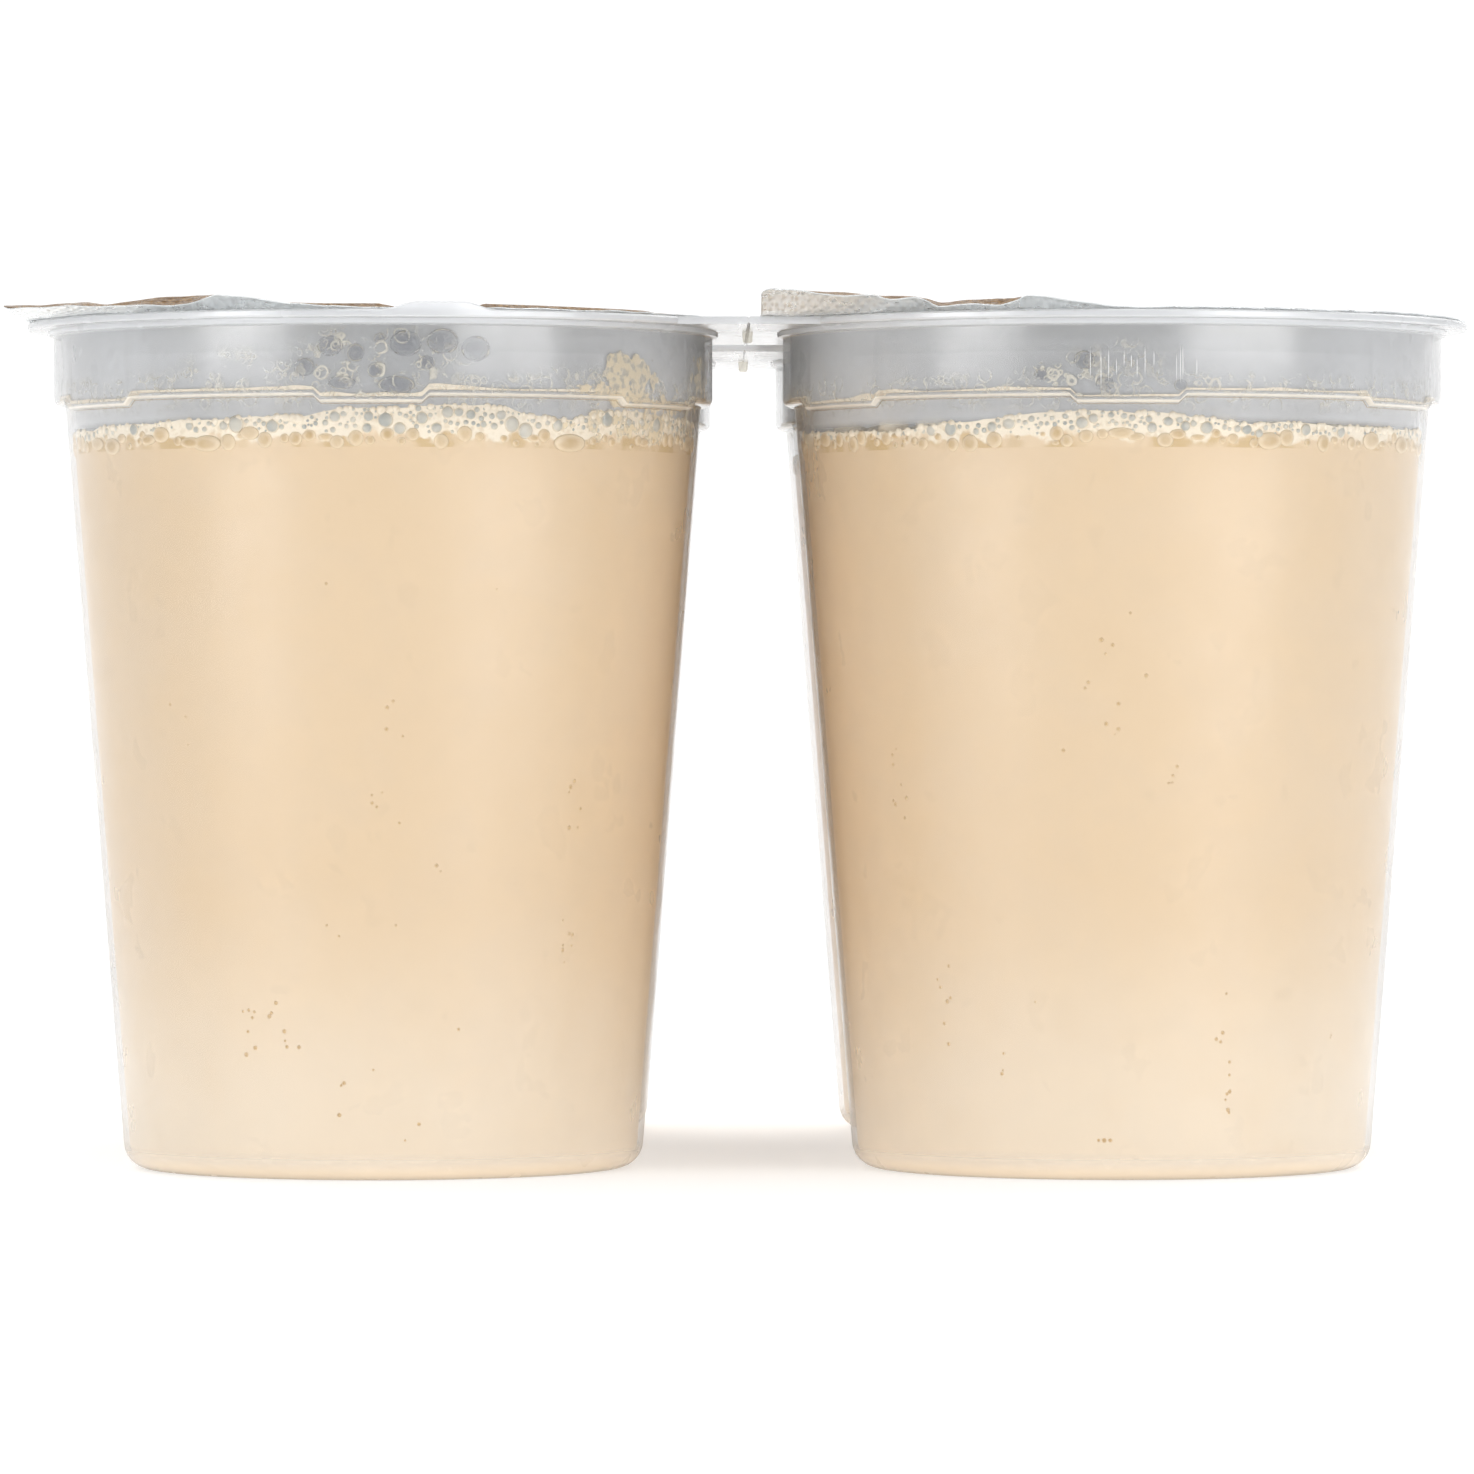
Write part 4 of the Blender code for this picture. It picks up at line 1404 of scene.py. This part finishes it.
@dataclass(frozen=True)
class LooseEdge:
    """A lid's loose front edge: how far it stands above the flange, by the place across from the pot's axis.

    The rim is the edge itself, the ridge is the foil a few millimetres behind it, and the swell is how far
    the foil bulges up inside its seal. The courses are in millimetres.
    """

    rim: Course
    ridge: Course
    swell: Course = Course(((0, 0.0), (1, 0.0)))
    behind: float = 3.0 * MM
    fade: tuple[float, float] = (4.0 * MM, 8.0 * MM)

    def lift(self, place: Vector, inward: float) -> float:
        """How far the foil stands above the flange.

        Args:
            place: where, measured from the pot's axis.
            inward: the distance behind the front edge.

        Returns:
            The lift, in metres.
        """
        across = place.x / MM
        rim, ridge = self.rim.at(across), self.ridge.at(across)
        raised = rim + (ridge - rim) * smoothstep(0.0, self.behind, inward)
        return raised * smoothstep(self.fade[1], self.fade[0], inward) * MM


LEFT_EDGE = LooseEdge(
    rim=Course(
        (
            (-31, -0.08), (-27.8, -0.03), (-25.3, 0.07), (-22.9, 0.02), (-18.1, 0.2), (-16.4, 0.08),
            (-15.2, 0.24), (-13.3, 0.92), (-12.9, 1.04), (-10.1, 0.76), (-7.1, 0.34), (-3.6, 0.12), (0, 0.04),
        )
    ),
    ridge=Course(
        (
            (-31, 0.25), (-27.8, 0.32), (-25.3, 0.46), (-24, 0.56), (-22.9, 0.4), (-22.3, 0.3), (-20.2, 0.6),
            (-18.1, 0.9), (-15.2, 1.06), (-13.3, 1.12), (-12.5, 0.8), (-7.1, 0.5), (-3.6, 0.3), (0, 0.1),
        )
    ),
    swell=Course(
        ((-10, 0.0), (-7.5, 0.6), (0.5, 0.5), (3, 0.0), (8, 0.0), (9.5, 0.55), (23, 0.5), (27, 0.3))
    ),
)
RIGHT_EDGE = LooseEdge(
    rim=Course(
        (
            (-31, 1.55), (-28.6, 1.46), (-26.1, 1.22), (-24.1, 1.0), (-21.3, 1.0), (-20.9, 0.76),
            (-20.1, 0.65), (-18.1, 0.9), (-17.2, 0.6), (-16.3, 0.1), (-15.4, 0.1), (-13, 0.34),
            (-11, 0.2), (-9.4, 0.64), (-8.8, 1.0), (-6.4, 0.75), (-1.8, 0.25), (1, 0.04),
        )
    ),
    ridge=Course(
        (
            (-31, 1.3), (-28.6, 1.66), (-24.1, 1.4), (-22.3, 1.26), (-20.7, 1.06), (-18.5, 1.1), (-17, 0.88),
            (-16, 0.56), (-14, 0.66), (-12, 0.82), (-9.2, 1.12), (-8.4, 0.8), (-4, 0.4), (1, 0.1),
        )
    ),
)
BACK_LEFT_EDGE = LooseEdge(
    rim=Course(((-31, 1.25), (-26, 1.1), (-20, 0.3), (-15, 0.15), (-12, 0.6), (-9, 0.3), (0, 0.04))),
    ridge=Course(((-31, 1.0), (-26, 1.3), (-20, 0.7), (-15, 0.5), (-12, 0.5), (0, 0.1))),
)
BACK_RIGHT_EDGE = LooseEdge(
    rim=Course(((-31, 0.9), (-28, 0.9), (-23, 0.4), (-19, 0.3), (-16, 0.9), (-12, 0.5), (0, 0.04))),
    ridge=Course(((-31, 0.8), (-27, 1.0), (-23, 0.8), (-18, 0.6), (-12, 0.5), (0, 0.1))),
)
EDGES = {
    Pot.FRONT_LEFT: LEFT_EDGE,
    Pot.FRONT_RIGHT: RIGHT_EDGE,
    Pot.BACK_LEFT: BACK_LEFT_EDGE,
    Pot.BACK_RIGHT: BACK_RIGHT_EDGE,
}


@dataclass
class Lid:
    """The foil lid of one pot: round, with one square corner as its peel tab."""

    pot: Pot
    shape: CupShape = CUP
    radius: float = 31.0 * MM
    corner_rounding: float = 2.5 * MM
    arch_radius: float = 30.4 * MM
    arch_turns: tuple[float, float] = (math.radians(-90.0), math.radians(-68.0))
    thickness: float = 0.09 * MM
    waviness: float = 0.22 * MM
    fine_crinkle: float = 0.10 * MM
    coarse_crinkle: float = 0.12 * MM
    free_between: tuple[float, float] = (29.5 * MM, 31.0 * MM)
    swell_ends: tuple[float, float] = (28.2 * MM, 26.3 * MM)
    swell_starts: tuple[float, float] = (6.0 * MM, 14.0 * MM)
    steps: int = 576
    inner_rings: tuple[float, ...] = (0.1, 0.22, 0.34, 0.46, 0.57, 0.67, 0.76, 0.82, 0.86)
    outer_rings: int = 14

    @property
    def edge(self) -> LooseEdge:
        """This lid's loose front edge."""
        return EDGES[self.pot]

    def reach(self, turn: float) -> float:
        """How far the lid's edge is from the axis.

        Args:
            turn: the angle about the axis, in radians.

        Returns:
            The distance.
        """
        if -math.pi < turn < -math.pi / 2:
            inner = self.radius - self.corner_rounding
            across, down = abs(math.cos(turn)), abs(math.sin(turn))
            flat = self.radius / max(across, down)
            middle = inner * (across + down)
            root = middle**2 - 2 * inner**2 + self.corner_rounding**2
            beyond = min(across, down) * flat > inner
            return middle + math.sqrt(root) if beyond and root > 0 else flat
        if self.pot is Pot.FRONT_LEFT:
            start, end = self.arch_turns
            inward = smoothstep(start, start + 0.05, turn) * smoothstep(end, end - 0.05, turn)
            return self.radius - (self.radius - self.arch_radius) * inward
        return self.radius

    def height(self, place: Vector) -> float:
        """How high the foil's underside lies.

        Args:
            place: the place, measured from the pot's axis.

        Returns:
            The height.
        """
        s = self.shape
        distance = place.length
        sealed = s.flange_top + s.bead + 0.01 * MM
        seed = Vector((self.pot.value[0] * 3.1, self.pot.value[1] * 1.7, 0))
        if distance < s.band_radius - s.wall:
            loose = 1 - smoothstep(0.8, 1.0, distance / (s.band_radius - s.wall))
            wavy = noise.noise(Vector((*place, 0)) * 90.0 + seed) * self.waviness
            swollen = smoothstep(*self.swell_ends, distance) * smoothstep(*self.swell_starts, -place.y)
            return sealed + loose * (wavy - 0.1 * MM) + swollen * self.edge.swell.at(place.x / MM) * MM
        free = smoothstep(*self.free_between, distance)
        crinkle = noise.noise(Vector((*place, 0)) * 520.0 + seed) * self.fine_crinkle
        crinkle += noise.noise(Vector((*place, 0)) * 210.0 - seed) * self.coarse_crinkle
        inward = place.y + self.radius if place.x < 0 else self.reach(math.atan2(place.y, place.x)) - distance
        lift = self.edge.lift(place, inward) if place.y < 0 else 0.0
        over_flange = distance < s.flange_radius + 0.05 * MM
        lowest = s.flange_top + (0.03 if over_flange else -0.2) * MM
        loose_height = s.flange_top + 0.06 * MM + lift + crinkle
        if place.y > 0:
            loose_height = s.flange_top + 0.05 * MM + abs(crinkle) * 0.4
        return max(lowest, sealed + (loose_height - sealed) * free)

    def build(self, top: bpy.types.Material, under: bpy.types.Material) -> bpy.types.Object:
        """Builds the lid as one piece, lacquered on top and bare below.

        Args:
            top: the material of its upper face.
            under: the material of its lower face.

        Returns:
            The piece.
        """
        last = self.inner_rings[-1]
        outer = [last + (1 - last) * i / self.outer_rings for i in range(1, self.outer_rings + 1)]
        bm = spun([(0, 0)] + [(ring, 0) for ring in (*self.inner_rings, *outer)], self.steps)
        for vert in bm.verts:
            ring = math.hypot(vert.co.x, vert.co.y)
            turn = math.atan2(vert.co.y, vert.co.x) if ring > 1e-6 else 0.0
            place = Vector((math.cos(turn), math.sin(turn))) * (ring * self.reach(turn))
            vert.co = (place.x, place.y, self.height(place))
        if sum(face.normal.z for face in bm.faces) < 0:
            bmesh.ops.reverse_faces(bm, faces=bm.faces)
        bmesh.ops.translate(bm, verts=bm.verts, vec=self.pot.centre)
        piece = finish_piece(f"foil_lid_{self.pot.word}", bm, [top, under], None)
        sheet = piece.modifiers.new("thickness", "SOLIDIFY")
        sheet.thickness = self.thickness
        sheet.offset = 1.0
        sheet.material_offset = 1
        sheet.material_offset_rim = 1
        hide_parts(f"lid_{self.pot.word}")
        return piece


@dataclass
class Studio:
    """The floor, the soft lights and the camera."""

    eye: Vector = field(default_factory=lambda: Vector((-4.8, -751.4, 41.4)) * MM)
    lens: float = 199.7
    sensor: float = 36.0
    picture: float = 1474.0
    level_point: Place = (693.0, 696.0)
    world_light: float = 0.30
    floor_colour: Colour = (0.93, 0.93, 0.93)
    floor_glow: float = 0.22
    glow_fades: tuple[float, float] = (0.09, 0.32)
    white_over: tuple[float, float] = (-0.12, 0.3)
    white_strength: float = 1.1
    floor_front: float = -3.0
    floor_width: float = 6.0
    bend_from: float = 1.2
    bend_radius: float = 0.8
    backdrop_height: float = 3.0

    def floor(self) -> None:
        """A floor that curves up into a backdrop. It glows a little near the pots and looks white beyond."""
        bm = bmesh.new()
        depth, bend, wide = self.bend_from, self.bend_radius, self.floor_width
        points = [(self.floor_front, 0.0), (depth, 0.0)]
        turns = [math.radians(9 * i) for i in range(1, 11)]
        points += [(depth + bend * math.sin(turn), bend * (1 - math.cos(turn))) for turn in turns]
        points += [(depth + bend, self.backdrop_height)]
        verts = [bm.verts.new((-wide / 2, y, z)) for y, z in points]
        edges = [bm.edges.new(pair) for pair in zip(verts, verts[1:])]
        made = bmesh.ops.extrude_edge_only(bm, edges=edges)["geom"]
        moved = [item for item in made if isinstance(item, bmesh.types.BMVert)]
        bmesh.ops.translate(bm, verts=moved, vec=(wide, 0, 0))
        bmesh.ops.recalc_face_normals(bm, faces=bm.faces)
        if bm.faces[:][0].normal.z < 0:
            bmesh.ops.reverse_faces(bm, faces=bm.faces)
        mesh = bpy.data.meshes.new("studio_floor")
        bm.to_mesh(mesh)
        bm.free()
        mesh.shade_smooth()
        recipe = Recipe("studio_floor")
        away = recipe.add("ShaderNodeVectorMath", {0: recipe.coords}, operation="LENGTH").outputs["Value"]
        glow = recipe.between(away, *self.glow_fades, self.floor_glow, 0.0)
        glow = recipe.add("ShaderNodeEmission", {"Strength": glow}).outputs[0]
        matt = recipe.shader("Diffuse", self.floor_colour)
        glowing = recipe.add("ShaderNodeAddShader", {0: matt, 1: glow}).outputs[0]
        seen = recipe.add("ShaderNodeLightPath").outputs["Is Camera Ray"]
        share = recipe.scaled(recipe.between(away, *self.white_over), seen)
        white = recipe.add("ShaderNodeEmission", {"Strength": self.white_strength}).outputs[0]
        mesh.materials.append(recipe.done(recipe.mixed(share, glowing, white)))
        floor = bpy.data.objects.new("studio_floor", mesh)
        floor.location.z = -0.02 * MM
        bpy.context.scene.collection.objects.link(floor)

    def panel(
        self,
        name: str,
        place: Place,
        height: float,
        size: Place,
        power: float,
        aim: Vector = Vector((0, 0, 0.04)),
    ) -> bpy.types.Object:
        """A soft rectangular light.

        Args:
            name: the light's name.
            place: its azimuth in degrees, from the front towards the right, and its distance.
            height: the height of its middle.
            size: its width and height.
            power: its power in watts.
            aim: the point that it faces.

        Returns:
            The light.
        """
        light = bpy.data.lights.new(name, "AREA")
        light.shape = "RECTANGLE"
        light.size, light.size_y = size
        light.energy = power
        lamp = bpy.data.objects.new(name, light)
        turn = math.radians(place[0])
        lamp.location = (place[1] * math.sin(turn), -place[1] * math.cos(turn), height)
        lamp.rotation_euler = (aim - lamp.location).to_track_quat("-Z", "Y").to_euler()
        bpy.context.scene.collection.objects.link(lamp)
        return lamp

    def lights(self) -> None:
        """White all round, a soft panel and a faint wide card at each side, and lights above and behind."""
        world = bpy.data.worlds.new("studio")
        world.use_nodes = True
        background = world.node_tree.nodes["Background"]
        background.inputs["Color"].default_value = (1.0, 1.0, 1.0, 1)
        path = world.node_tree.nodes.new("ShaderNodeLightPath")
        strength = world.node_tree.nodes.new("ShaderNodeMath")
        strength.operation = "MAXIMUM"
        strength.inputs[1].default_value = self.world_light
        world.node_tree.links.new(path.outputs["Is Camera Ray"], strength.inputs[0])
        world.node_tree.links.new(strength.outputs[0], background.inputs["Strength"])
        bpy.context.scene.world = world
        self.panel("panel_left", (-47.5, 0.9), 0.12, (0.46, 0.2), 2.1)
        self.panel("panel_right", (42.5, 0.9), 0.12, (0.60, 0.2), 2.6)
        self.panel("card_left", (-100.0, 1.0), 0.35, (1.4, 0.7), 0.3)
        self.panel("card_right", (100.0, 1.0), 0.35, (1.4, 0.7), 0.3)
        self.panel("panel_above", (0.0, 0.15), 1.1, (0.9, 0.9), 5.35)
        self.panel("backdrop_light", (180.0, 1.3), 1.3, (3.0, 1.6), 34.0, Vector((0, 1.5, 0)))

    def camera(self) -> None:
        """A long lens near the height of the pots' middle, aimed at the middle of the picture."""
        data = bpy.data.cameras.new("camera")
        data.lens = self.lens
        data.sensor_width = self.sensor
        data.clip_start, data.clip_end = 0.05, 20.0
        camera = bpy.data.objects.new("camera", data)
        camera.location = self.eye
        pixels = self.lens / self.sensor * self.picture
        right = math.atan((self.picture / 2 - self.level_point[0]) / pixels)
        down = math.atan((self.picture / 2 - self.level_point[1]) / pixels)
        camera.rotation_euler = (math.pi / 2 - down, 0, -right)
        bpy.context.scene.collection.objects.link(camera)
        bpy.context.scene.camera = camera
        bpy.context.scene.view_settings.view_transform = "Standard"

    def build(self) -> None:
        """Sets the whole studio up."""
        self.floor()
        self.lights()
        self.camera()


def main() -> None:
    """Builds the pieces in order, then the studio."""
    logging.basicConfig(level=logging.INFO, format="%(name)s %(message)s")
    Moulding().build()
    dessert, froth = Dessert().material(), Froth().material()
    spots = [bubble.material() for bubble in SPOTS]
    marks = [finish.material() for finish in (DriedFilm(), WallBubble(), SCRATCH)]
    silver = FoilFace("foil_under", Pot.FRONT_LEFT, False).material()
    for pot in Pot:
        contents = Contents(pot)
        contents.filling(dessert)
        contents.foam([froth])
        contents.bubbles(spots)
        contents.ledge_cream(froth)
        contents.film(marks)
        top = FoilFace(f"foil_print_{pot.word}", pot, True).material()
        Lid(pot).build(top, silver)
    Studio().build()


if __name__ == "__main__":
    main()
